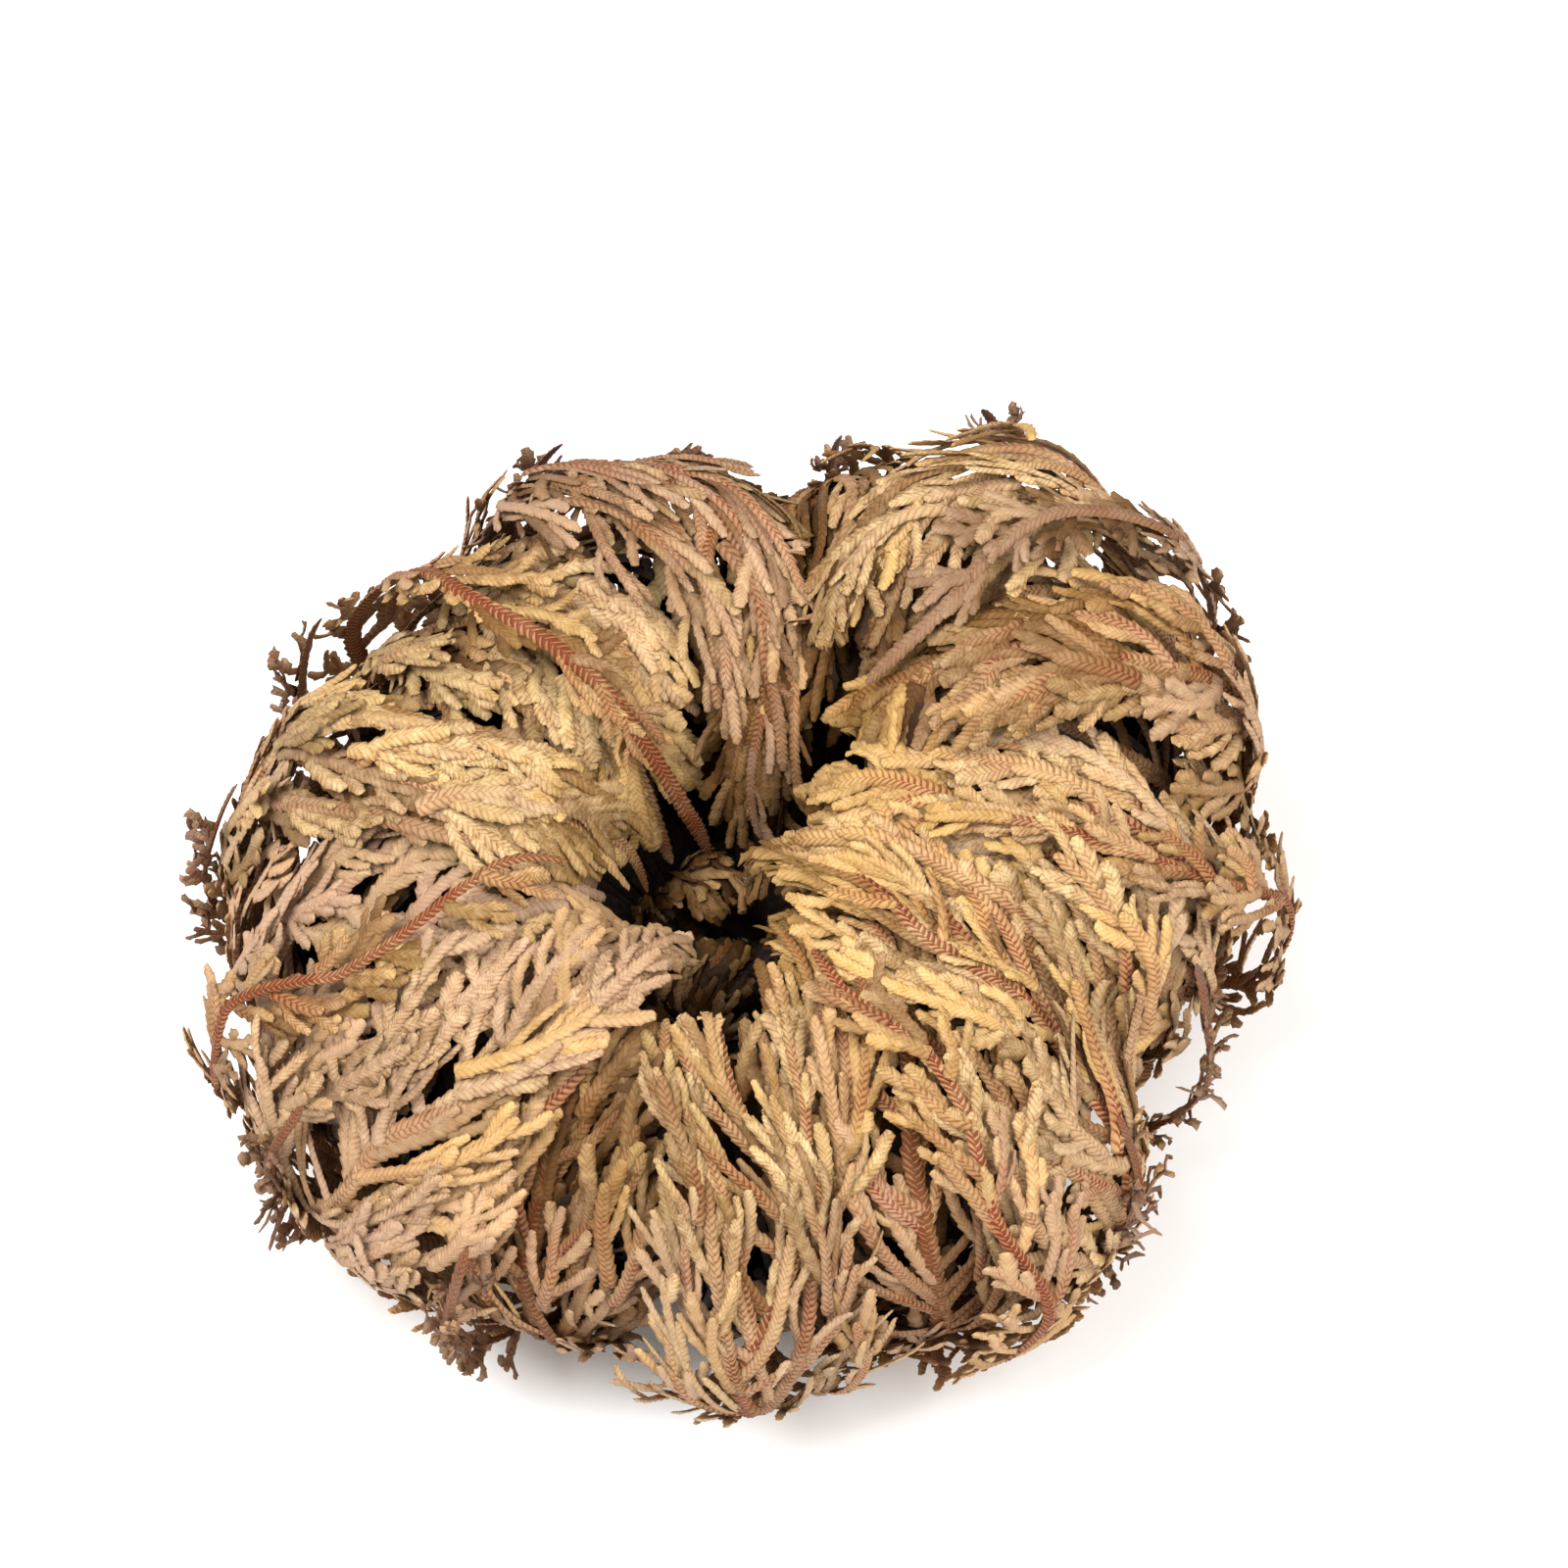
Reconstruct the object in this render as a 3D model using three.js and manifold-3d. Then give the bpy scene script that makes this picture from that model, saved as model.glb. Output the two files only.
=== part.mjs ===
// Rose of Jericho, the resurrection plant Selaginella lepidophylla, dry and curled into a ball.
//
// A short rootstock stands at the bottom, and scaly fronds grow from rings round it. Each frond
// runs out along the underside, up round the outside, over the top, and hangs its tip into the
// hollow in the middle. Several rings of fronds lie one inside another, each turned so that its
// fronds cover the gaps of the ring outside it. The youngest fronds make a small closed heart at
// the bottom of the hollow, and brown dead ones cling to the outside.
//
// Every frond is laid out in the ball's own coordinates and then placed in space:
//   way      0 at the rootstock to 9 at the hanging tip, along the curl
//   azimuth  the angle round the upright axis, 0 along +X and 90 degrees along +Y
//   depth    0 on the outermost full ring to 1 round the empty core, and below 0 outside the ball
//
// Millimetres, +Z up. The origin is the middle of the flat underside of the rootstock.
import * as THREE from 'three';
import { mergeVertices } from 'three/addons/utils/BufferGeometryUtils.js';
import Module from 'manifold-3d';

const DEG = Math.PI / 180;

// ---- Driving dimensions -------------------------------------------------------------------
// The curl of the outermost ring, from the rootstock round to the tip: [radius, height].
const OUTER_CURL = [
  [9.3, 6.0], [19, 4.2], [33, 6.2], [43.6, 15.5], [46.6, 28.5],
  [41.8, 41], [30.8, 48.6], [18.6, 46.8], [11, 38], [8.2, 27],
];
// The curl of a frond that would lie right at the empty core.
const CORE_CURL = [
  [5.5, 14], [12, 12.4], [20, 13], [27.6, 17.6], [31, 25],
  [29.6, 31.6], [26.4, 34.8], [22.8, 34], [20, 30.2], [18, 25],
];
// The heart's fronds curl up inside the hollow, between these two.
const HEART_OUTER_CURL = [[3.4, 16.6], [6.6, 17.2], [9.2, 19.6], [9.6, 22.8], [7.6, 25.4], [4, 26], [2.2, 24]];
const HEART_CORE_CURL = [[2.2, 18.2], [4.4, 18.8], [6, 20.2], [6.2, 22], [4.8, 23.2], [2.8, 23.2], [1.4, 22.4]];
const WAY_END = 9;

const DEEP_SHARE = 0.92; // the ball is this much narrower front to back than side to side
const LEAN = 0.0034; // the back stands higher than the front, per millimetre from the middle
// The lobes of the ball, as [azimuth in degrees, share of the even radius], and how much of that
// share the height takes too.
const LOBES = [
  [-165, 1.01], [-135, 0.99], [-100, 1.0], [-62, 1.0], [-42, 0.92], [-29, 0.83], [0, 0.97],
  [30, 1.05], [52, 1.08], [68, 1.03], [83, 0.9], [97, 0.93], [118, 0.96], [132, 0.9],
  [150, 0.94], [172, 0.96],
];
const LOBE_HEIGHT_SHARE = 0.6;
// How far round the fronds sweep on their way over the top, as [azimuth, sweep] in degrees.
const SWEEPS = [
  [-165, -14], [-142, 14], [-104, -3], [-62, 1], [-38, 24], [0, 8], [50, 8], [112, -20],
  [140, -12], [165, -8],
];
const SWEEP_WAYS = [2.5, 8.5];

const BLADE_THICKNESS = 1.0;
const FINGER_TIP_HALF_WIDTH = 0.6;
const WIDEST_FINGER_HALF = 1.4;
const FINGER_FILL = 0.4; // half a finger's width, as a share of the room between two fingers

const ROOTSTOCK_SIDES = 28;
const ROOTSTOCK_FLAT_RADIUS = 8.2;
const SEAT_GAP = 0.85; // from the side of the rootstock to the middle of a frond's foot
// Stubs of cut roots lie along the ground: [azimuth in degrees, reach from the axis].
const ROOT_STUBS = [[-150, 18.5], [-96, 16], [-47, 18], [8, 17], [63, 19], [118, 16.5], [170, 18]];
const ROOT_HALF_THICKNESS = [1.15, 0.55]; // at the rootstock and at the cut end

// ---- Fronds -------------------------------------------------------------------------------
// The rings, with each frond as [azimuth, half of the angle that it covers, tone], in degrees.
const OVER_FRONDS = [
  [-140, 20, 'mauve'], [-90, 14, 'straw'], [-38, 22, 'straw'], [22, 13, 'russet'],
  [52, 15, 'straw'], [118, 22, 'mauve'], [170, 16, 'straw'],
];
const UNDER_FRONDS = [
  [-167, 18, 'mauve'], [-112, 18, 'russet'], [-67, 20, 'russet'], [-4, 22, 'straw'],
  [36, 15, 'straw'], [81, 19, 'russet'], [147, 20, 'straw'],
];
const MID_FRONDS = [
  [-160, 20, 'straw'], [-117, 20, 'straw'], [-73, 20, 'russet'], [-30, 20, 'straw'],
  [12, 19, 'straw'], [56, 22, 'russet'], [103, 21, 'straw'], [151, 21, 'russet'],
];
const INNER_FRONDS = [
  [-144, 31, 'russet'], [-75, 31, 'straw'], [-5, 31, 'russet'], [67, 31, 'straw'], [141, 31, 'russet'],
];
const HEART_FRONDS = [[-120, 36, 'russet'], [-35, 36, 'russet'], [50, 36, 'russet'], [140, 36, 'russet']];
// Narrow loose fronds that ride over the outermost ring.
const RIDER_FRONDS = [
  [-163, 9, 'russet'], [-60, 9, 'russet'], [2, 9, 'russet'], [40, 9, 'mauve'], [137, 9, 'russet'],
];
// Dead fronds, short and brown, whose tips bend away from the ball.
const DEAD_FRONDS = [
  [-148, 5], [-121, 4], [-45, 5], [-22, 4], [62, 4], [80, 5], [118, 4], [152, 5], [176, 4],
];

// What the fronds of a ring have in common.
//   depths          the ring's own, at the rootstock and further out
//   edgeDepth       how much deeper a frond's edges lie, and tipDepth the same for its tip
//   from, to, end   the ways of its first finger, its last finger and its tip
//   pitch, reach    the way from one pair of fingers to the next, and from a finger's root to its tip
//   segments        how many stretches a finger bends in
//   stem            half the width of its stem at the rootstock and at its tip
const RINGS = {
  over_frond: { fronds: OVER_FRONDS, depths: [0, 0], edgeDepth: 0.1 },
  under_frond: { fronds: UNDER_FRONDS, depths: [0.22, 0.22], edgeDepth: 0.1 },
  mid_frond: {
    fronds: MID_FRONDS, depths: [0.46, 0.46], edgeDepth: 0.08,
    from: 2, to: 7.2, pitch: 1.04, reach: 1.5, segments: 2,
  },
  inner_frond: {
    fronds: INNER_FRONDS, depths: [0.72, 0.72], edgeDepth: 0.08,
    from: 2, to: 7.2, pitch: 1.3, reach: 1.6, segments: 2,
  },
  heart_frond: {
    fronds: HEART_FRONDS, inHeart: true, depths: [0.1, 0.1], edgeDepth: 0.3,
    from: 1.6, to: 6.4, pitch: 1.2, reach: 1.6, segments: 2, end: 8.6, stem: [0.9, 0.45],
  },
  rider_frond: {
    fronds: RIDER_FRONDS, depths: [-0.18, -0.125],
    from: 3.4, to: 7, pitch: 0.72, reach: 1.3, end: 8, segments: 2, stem: [0.95, 0.7],
  },
  dead_frond: {
    fronds: DEAD_FRONDS, depths: [-0.2, -0.11], tipDepth: -0.2,
    from: 2.4, to: 4.0, pitch: 0.54, reach: 1.0, end: 4.8, segments: 2, stem: [0.95, 0.6],
  },
};
const RING_DEFAULTS = {
  inHeart: false, edgeDepth: 0, tipDepth: 0, from: 1.3, to: 7.3, pitch: 0.5, reach: 1.5, end: 8.9,
  segments: 3, stem: [1.5, 0.75],
};
const TIP_WAYS = 2; // the stretch before a frond's end over which its tip bends

// ---- Small helpers ------------------------------------------------------------------------
const mix = (a, b, share) => a + (b - a) * share;
const clamp01 = (x) => Math.min(1, Math.max(0, x));
const ease = (t) => t * t * (3 - 2 * t);
const smooth = (from, to, x) => ease(clamp01((x - from) / (to - from)));

// A repeatable draw between -1 and 1: steps of an irrational size, with the whole part dropped.
const scatter = (index, channel) => {
  const steps = (index + 1) * 0.6180339887 + (channel + 1) * (index + 3) * 0.7548776662;
  return 2 * (steps - Math.floor(steps)) - 1;
};

// The value at an azimuth in radians between the points of a closed list of [degrees, value].
function around(points, azimuth) {
  const [first] = points;
  const degrees = THREE.MathUtils.euclideanModulo(azimuth / DEG - first[0], 360) + first[0];
  const closed = [...points, [first[0] + 360, first[1]]];
  const next = closed.findIndex(([at]) => at > degrees);
  const [[at0, value0], [at1, value1]] = [closed[next - 1], closed[next]];
  return mix(value0, value1, ease((degrees - at0) / (at1 - at0)));
}

// How near a point comes to a line through the given points.
function distanceToLine(point, line) {
  const nearest = new THREE.Vector3();
  const distances = line.slice(1).map((end, i) =>
    new THREE.Line3(line[i], end).closestPointToPoint(point, true, nearest).distanceTo(point));
  return Math.min(...distances);
}

// The room between one line, round its i-th point, and another line that starts at its foot.
function roomBeside(line, i, other) {
  const stretch = line.slice(i - 1, i + 2);
  return Math.min(
    distanceToLine(line[i], other),
    ...other.slice(1).map((point) => distanceToLine(point, stretch)),
  );
}

// ---- The ball's own coordinates -----------------------------------------------------------
// The room between two curls: gives the radius and height at a way and depth.
function roomBetween(outer, core) {
  const [outerCurve, coreCurve] = [outer, core].map(
    (points) => new THREE.SplineCurve(points.map(([r, z]) => new THREE.Vector2(r, z))),
  );
  return (way, depth) => {
    const t = clamp01(way / WAY_END);
    return outerCurve.getPoint(t).lerp(coreCurve.getPoint(t), depth);
  };
}
const ballRoom = roomBetween(OUTER_CURL, CORE_CURL);
const heartRoom = roomBetween(HEART_OUTER_CURL, HEART_CORE_CURL);

// From the even, round ball to the real one: lobed, narrower front to back, higher at the back.
function settle(x, y, z) {
  const lobe = around(LOBES, Math.atan2(y, x));
  const settledY = y * lobe * DEEP_SHARE;
  const height = z * mix(1, lobe, LOBE_HEIGHT_SHARE);
  return new THREE.Vector3(x * lobe, settledY, height * (1 + LEAN * settledY));
}

function placeIn(room, way, azimuth, depth) {
  const { x: radius, y: height } = room(way, depth);
  const swept = azimuth + DEG * around(SWEEPS, azimuth) * smooth(...SWEEP_WAYS, way);
  return settle(radius * Math.cos(swept), radius * Math.sin(swept), height);
}

// ---- A frond ------------------------------------------------------------------------------
// One thin arched sheet with its fingers cut free, drawn as triangles between corners of
// [way, angle from the stem]. Both faces and all fingers share their corners with the stem.
class Sheet {
  corners = [];
  triangles = [];

  corner(way, angle) {
    return this.corners.push([way, angle]) - 1;
  }

  quad(a, b, c, d) {
    this.triangles.push([a, b, c], [a, c, d]);
  }

  // surface(way, angle) gives the sheet's middle, and the solid stands half a thickness each side.
  solid(surface, thickness) {
    const step = 0.02;
    const faces = [];
    const upper = [];
    const lower = [];
    for (const [way, angle] of this.corners) {
      const alongWay = surface(way + step, angle).sub(surface(way - step, angle));
      const round = surface(way, angle + step).sub(surface(way, angle - step));
      const lift = round.cross(alongWay).setLength(thickness / 2);
      const middle = surface(way, angle);
      upper.push(...middle.clone().add(lift).toArray());
      lower.push(...middle.sub(lift).toArray());
    }
    const count = this.corners.length;
    const sides = new Set();
    for (const [a, b, c] of this.triangles) {
      faces.push(a, b, c, count + a, count + c, count + b);
      for (const [from, to] of [[a, b], [b, c], [c, a]]) sides.add(`${from} ${to}`);
    }
    for (const side of sides) {
      const [from, to] = side.split(' ').map(Number);
      if (sides.has(`${to} ${from}`)) continue; // two triangles meet here, so it is no rim
      faces.push(from, count + from, count + to, from, count + to, to);
    }
    const geometry = new THREE.BufferGeometry();
    geometry.setAttribute('position', new THREE.Float32BufferAttribute([...upper, ...lower], 3));
    geometry.setIndex(faces);
    geometry.computeVertexNormals();
    return geometry;
  }
}

function frondGeometry(azimuth, span, ring, seed) {
  const room = ring.inHeart ? heartRoom : ballRoom;
  const surface = (way, angle) => {
    const toEdge = (angle / span) ** 2;
    const narrowing = 1 - 0.55 * smooth(6, 8.5, way); // the rings lie closer together at the hollow
    const tip = ring.tipDepth * smooth(ring.end - TIP_WAYS, ring.end, way);
    const middle = mix(...ring.depths, smooth(0.5, 3, way));
    return placeIn(room, way, azimuth + angle, middle + ring.edgeDepth * narrowing * toEdge + tip);
  };
  // Millimetres on the sheet for one unit of way, and for one unit of angle.
  const step = 0.05;
  const perWay = (way, angle) =>
    surface(way + step, angle).distanceTo(surface(way - step, angle)) / (2 * step);
  const perAngle = (way, angle) =>
    surface(way, angle + step).distanceTo(surface(way, angle - step)) / (2 * step);
  const stemAngle = (way) => mix(...ring.stem, smooth(0.5, ring.end, way)) / perAngle(way, 0);
  // The share of its span that a frond fills: little at the rootstock, most round the outside.
  const fill = (way) => mix(0.5, 0.92, smooth(ring.from - 0.6, ring.from + 3.4, way));

  const sheet = new Sheet();
  const pairs = Math.round((ring.to - ring.from) / ring.pitch);
  const footCells = Math.max(2, Math.round(ring.from / 0.65));
  const tipCells = 3;
  const stations = [
    ...Array.from({ length: footCells }, (_, i) => (ring.from * i) / footCells),
    ...Array.from({ length: pairs + 1 }, (_, i) => mix(ring.from, ring.to, i / pairs)),
    ...Array.from({ length: tipCells }, (_, i) => mix(ring.to, ring.end, (i + 1) / tipCells)),
  ];
  const left = stations.map((way) => sheet.corner(way, -stemAngle(way)));
  const right = stations.map((way) => sheet.corner(way, stemAngle(way)));
  for (let i = 0; i + 1 < stations.length; i++) sheet.quad(left[i], right[i], right[i + 1], left[i + 1]);

  // The middle line of a finger: it leaves the stem and bends over to run along with it.
  const middleLine = (pair, side) => {
    const root = (stations[footCells + pair] + stations[footCells + pair + 1]) / 2;
    const shorter = 1 - 0.3 * smooth(5.5, 7.5, root);
    const tipWay = Math.min(root + ring.reach * shorter * (1 + 0.08 * scatter(pair, seed + side)), ring.end);
    const tipAngle = span * fill((root + tipWay) / 2) * (0.94 + 0.06 * scatter(pair, seed + side));
    return Array.from({ length: ring.segments + 1 }, (_, i) => {
      const p = i / ring.segments;
      return [mix(root, tipWay, p), side * mix(stemAngle(root), tipAngle, p * (1.35 - 0.35 * p))];
    });
  };
  for (const side of [-1, 1]) {
    const edge = side < 0 ? left : right;
    const lines = Array.from({ length: pairs }, (_, pair) => middleLine(pair, side));
    const placed = lines.map((line) => line.map((at) => surface(...at)));
    const stemEdge = stations.map((way) => surface(way, side * stemAngle(way)));
    const fromFoot = (station, pair) => placed[pair] && [stemEdge[station], ...placed[pair].slice(1)];
    lines.forEach((line, pair) => {
      const cell = footCells + pair;
      const [rearLine, frontLine] = [fromFoot(cell, pair), fromFoot(cell + 1, pair)];
      const besides = [
        [frontLine, stemEdge.slice(cell + 1)],
        [rearLine, fromFoot(cell, pair - 1)],
        [frontLine, fromFoot(cell + 1, pair + 1)],
      ].filter(([, other]) => other);
      let [rear, front] = [edge[cell], edge[cell + 1]];
      for (let i = 1; i < line.length; i++) {
        const [way, angle] = line[i];
        const [mmWay, mmAngle] = [perWay(way, angle), perAngle(way, angle)];
        const [before, after] = [line[i - 1], line[i + 1] ?? line[i]];
        const heading = new THREE.Vector2((after[0] - before[0]) * mmWay, (after[1] - before[1]) * mmAngle);
        const widest = i === ring.segments ? FINGER_TIP_HALF_WIDTH : WIDEST_FINGER_HALF;
        const between = Math.min(...besides.map(([own, other]) => roomBeside(own, i, other)));
        heading.setLength(Math.min(widest, FINGER_FILL * between));
        const [wayStep, angleStep] = [(side * heading.y) / mmWay, (side * heading.x) / mmAngle];
        const nextRear = sheet.corner(way - wayStep, angle + angleStep);
        const nextFront = sheet.corner(way + wayStep, angle - angleStep);
        if (side > 0) sheet.quad(rear, nextRear, nextFront, front);
        else sheet.quad(front, nextFront, nextRear, rear);
        [rear, front] = [nextRear, nextFront];
      }
    });
  }
  return sheet.solid(surface, BLADE_THICKNESS);
}

// ---- The rootstock ------------------------------------------------------------------------
const wasm = await Module();
wasm.setup();

function solidFrom(geometry) {
  const bare = geometry.clone();
  bare.deleteAttribute('normal');
  bare.deleteAttribute('uv');
  const merged = mergeVertices(bare, 1e-4);
  return new wasm.Manifold(new wasm.Mesh({
    numProp: 3,
    vertProperties: merged.getAttribute('position').array,
    triVerts: new Uint32Array(merged.index.array),
  }));
}

// A stubby cone whose side carries every frond's foot, cut flat below, with the roots' stubs.
function rootstockGeometry() {
  const [lowRadius, lowHeight] = OUTER_CURL[0];
  const [highRadius, highHeight] = CORE_CURL[0];
  const slope = (highRadius - lowRadius) / (highHeight - lowHeight);
  const sideRadius = (height) => lowRadius + slope * (height - lowHeight) - SEAT_GAP;
  const profile = [
    [0, 0], [ROOTSTOCK_FLAT_RADIUS, 0], [sideRadius(2), 2], [sideRadius(8), 8],
    [sideRadius(14.2), 14.2], [2.4, 15.4], [0, 15.7],
  ].map(([r, z]) => new THREE.Vector2(r, z));
  const body = new THREE.LatheGeometry(profile, ROOTSTOCK_SIDES);
  body.rotateX(Math.PI / 2); // the lathe turns round Y, and the ball stands along Z
  let solid = solidFrom(body);
  for (const [degrees, reach] of ROOT_STUBS) {
    const [thick, thin] = ROOT_HALF_THICKNESS;
    const length = reach - ROOTSTOCK_FLAT_RADIUS / 2;
    const stub = new THREE.CylinderGeometry(thin, thick, length, 7, 1);
    stub.rotateZ(-Math.PI / 2); // from upright to along +X, thick end inwards
    stub.translate(reach - length / 2, 0, thick + 0.1);
    stub.rotateZ(degrees * DEG);
    solid = solid.add(solidFrom(stub));
  }
  const mesh = solid.getMesh();
  const geometry = new THREE.BufferGeometry();
  geometry.setAttribute('position', new THREE.Float32BufferAttribute(mesh.vertProperties, 3));
  geometry.setIndex(new THREE.BufferAttribute(mesh.triVerts, 1));
  const position = geometry.getAttribute('position');
  for (let i = 0; i < position.count; i++) {
    position.setXYZ(i, ...settle(position.getX(i), position.getY(i), position.getZ(i)).toArray());
  }
  geometry.computeVertexNormals();
  return geometry;
}

// ---- Assembly -----------------------------------------------------------------------------
const COLORS = {
  straw: 0xb8935f, russet: 0x9c6a4a, mauve: 0x8f7562, dead: 0x4f3a2c, root: 0x5a4231,
};
const ball = new THREE.Group();
function add(name, geometry, tone) {
  const material = new THREE.MeshStandardMaterial({ color: COLORS[tone], roughness: 0.8, metalness: 0 });
  const mesh = new THREE.Mesh(geometry, material);
  mesh.name = name;
  ball.add(mesh);
}

add('rootstock', rootstockGeometry(), 'root');
for (const [name, settings] of Object.entries(RINGS)) {
  const ring = { ...RING_DEFAULTS, ...settings };
  ring.fronds.forEach(([azimuth, span, tone = 'dead'], i) => {
    add(`${name}_${i + 1}`, frondGeometry(azimuth * DEG, span * DEG, ring, i), tone);
  });
}

export default ball;
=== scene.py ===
"""Rose of Jericho, dry and curled into a ball: scaly fronds, dead fronds, rootstock and roots.

Every frond is laid out in the ball's own coordinates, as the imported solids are:
  way      0 at the rootstock to 9 at the hanging tip, along the curl
  azimuth  the angle round the upright axis, 0 along +X and 90 degrees along +Y
  depth    0 on the outermost full ring to 1 round the empty core, and below 0 outside the ball
Lengths are in millimetres until a mesh is made.
"""
import math
from dataclasses import dataclass
from functools import partial
from types import SimpleNamespace

import bpy
import numpy as np
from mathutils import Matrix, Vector


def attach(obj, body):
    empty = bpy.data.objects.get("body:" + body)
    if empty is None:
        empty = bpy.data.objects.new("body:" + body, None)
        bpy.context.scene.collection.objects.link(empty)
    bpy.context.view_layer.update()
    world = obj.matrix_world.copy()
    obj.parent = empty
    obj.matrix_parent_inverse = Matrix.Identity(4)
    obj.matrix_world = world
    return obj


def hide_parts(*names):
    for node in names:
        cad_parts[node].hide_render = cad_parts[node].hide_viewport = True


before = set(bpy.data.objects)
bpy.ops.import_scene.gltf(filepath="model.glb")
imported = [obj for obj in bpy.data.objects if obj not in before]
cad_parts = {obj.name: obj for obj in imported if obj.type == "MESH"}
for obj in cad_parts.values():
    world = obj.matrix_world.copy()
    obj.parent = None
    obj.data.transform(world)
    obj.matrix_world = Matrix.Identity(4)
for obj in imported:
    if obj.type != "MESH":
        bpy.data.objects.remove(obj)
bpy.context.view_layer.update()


MM = 0.001

# ---- The layout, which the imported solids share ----
OUTER_CURL = [
    (9.3, 6.0), (19, 4.2), (33, 6.2), (43.6, 15.5), (46.6, 28.5),
    (41.8, 41), (30.8, 48.6), (18.6, 46.8), (11, 38), (8.2, 27),
]
CORE_CURL = [
    (5.5, 14), (12, 12.4), (20, 13), (27.6, 17.6), (31, 25),
    (29.6, 31.6), (26.4, 34.8), (22.8, 34), (20, 30.2), (18, 25),
]
HEART_OUTER_CURL = [(3.4, 16.6), (6.6, 17.2), (9.2, 19.6), (9.6, 22.8), (7.6, 25.4), (4, 26), (2.2, 24)]
HEART_CORE_CURL = [(2.2, 18.2), (4.4, 18.8), (6, 20.2), (6.2, 22), (4.8, 23.2), (2.8, 23.2), (1.4, 22.4)]
BALL = (OUTER_CURL, CORE_CURL)
HEART = (HEART_OUTER_CURL, HEART_CORE_CURL)
WAY_END = 9

DEEP_SHARE = 0.92  # the ball is this much narrower front to back than side to side
LEAN = 0.0034  # the back stands higher than the front, per millimetre from the middle
LOBES = [
    (-165, 1.01), (-135, 0.99), (-100, 1.0), (-62, 1.0), (-42, 0.92), (-29, 0.83), (0, 0.97),
    (30, 1.05), (52, 1.08), (68, 1.03), (83, 0.9), (97, 0.93), (118, 0.96), (132, 0.9),
    (150, 0.94), (172, 0.96),
]
LOBE_HEIGHT_SHARE = 0.6
SWEEPS = [
    (-165, -14), (-142, 14), (-104, -3), (-62, 1), (-38, 24), (0, 8), (50, 8), (112, -20),
    (140, -12), (165, -8),
]
SWEEP_WAYS = (2.5, 8.5)

ROOTSTOCK_FLAT_RADIUS = 8.2
SEAT_GAP = 0.85
ROOT_STUBS = [(-150, 18.5), (-96, 16), (-47, 18), (8, 17), (63, 19), (118, 16.5), (170, 18)]
ROOT_HALF_THICKNESS = (1.15, 0.55)


@dataclass
class Plan:
    """One frond: where it lies, and how it differs from the others of its ring and tone."""

    azimuth: float
    span: float  # half of the angle that it covers, in degrees
    tone: str
    swerve: tuple = ((0, 0), (9, 0))  # degrees round the ball that its stem leaves the middle by, at ways
    # light and tip_light: partly its own tone, partly painted light and shade for how lit its place is
    light: float = 0
    tip_light: float = 0  # on top of that, over its last stretch
    grey: float = 0
    tip_grey: float = 0
    red: float = 0
    stem_red: float = 0  # for the stem alone
    gold: float = 0
    stout: float = 1  # its stem's width
    opens: float = 0  # the way at which it starts to spread, if that is later than usual
    end: float = 0  # the way at which it ends, if not the usual one
    tip_depth: float = 0  # how much deeper its tip lies, or below 0 stands out over the hollow
    tip_spread: float = 0  # how much wider it gets towards its tip
    reach: float = 1  # its branches' length
    combed: float = 0  # 1 for long, thin and nearly parallel strands


OVER_FRONDS = [
    Plan(-140, 20, "mauve", ((5, 0), (6, 5), (6.8, 7), (7.7, 12), (8.9, 14)), light=0.2, tip_light=0.2,
         grey=-0.4, tip_grey=0.7, red=-0.1, gold=0.4, end=7.9, combed=0.3),
    Plan(-90, 14, "straw", ((2.5, 2), (5.5, 4), (6.6, -3), (7.3, -7)), light=-0.3, tip_light=-0.6,
         red=0.45, stem_red=0.5, end=6.65, combed=0.9),
    Plan(-38, 22, "straw", ((2.5, -4), (5, -9), (6, -8), (7, -8), (8.5, -9)), light=0.1, tip_light=0.3,
         grey=-0.4, red=0.2, stem_red=0.3, gold=0.5, opens=3.2, end=8.6, tip_depth=-0.9, tip_spread=0.3,
         reach=1.15),
    Plan(22, 13, "russet", ((2.5, -3), (5.4, -7), (6.1, -4), (6.7, 2), (7.4, 9), (8.5, 10)),
         tip_light=-1.2, end=7.8),
    Plan(52, 15, "straw", ((2.5, -4), (4.9, -7), (5.3, -3), (6, 2), (6.5, 5), (8.5, 6)), light=0.9,
         tip_light=-2.5, red=-0.15, gold=0.5, end=7.2, combed=0.5),
    Plan(118, 22, "mauve", ((2.5, 2), (5.2, -3), (6.2, -11), (7, -19), (8.9, -32)), light=-0.5, grey=0.1,
         red=0.6, end=9, combed=1),
    Plan(170, 16, "straw", ((2.5, 0), (4.9, 2), (5.6, 9), (6.3, 17), (7, 21), (8.5, 19)), light=-0.1,
         red=-0.1, stem_red=0.5, opens=2.6, end=8.7),
]
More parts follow.
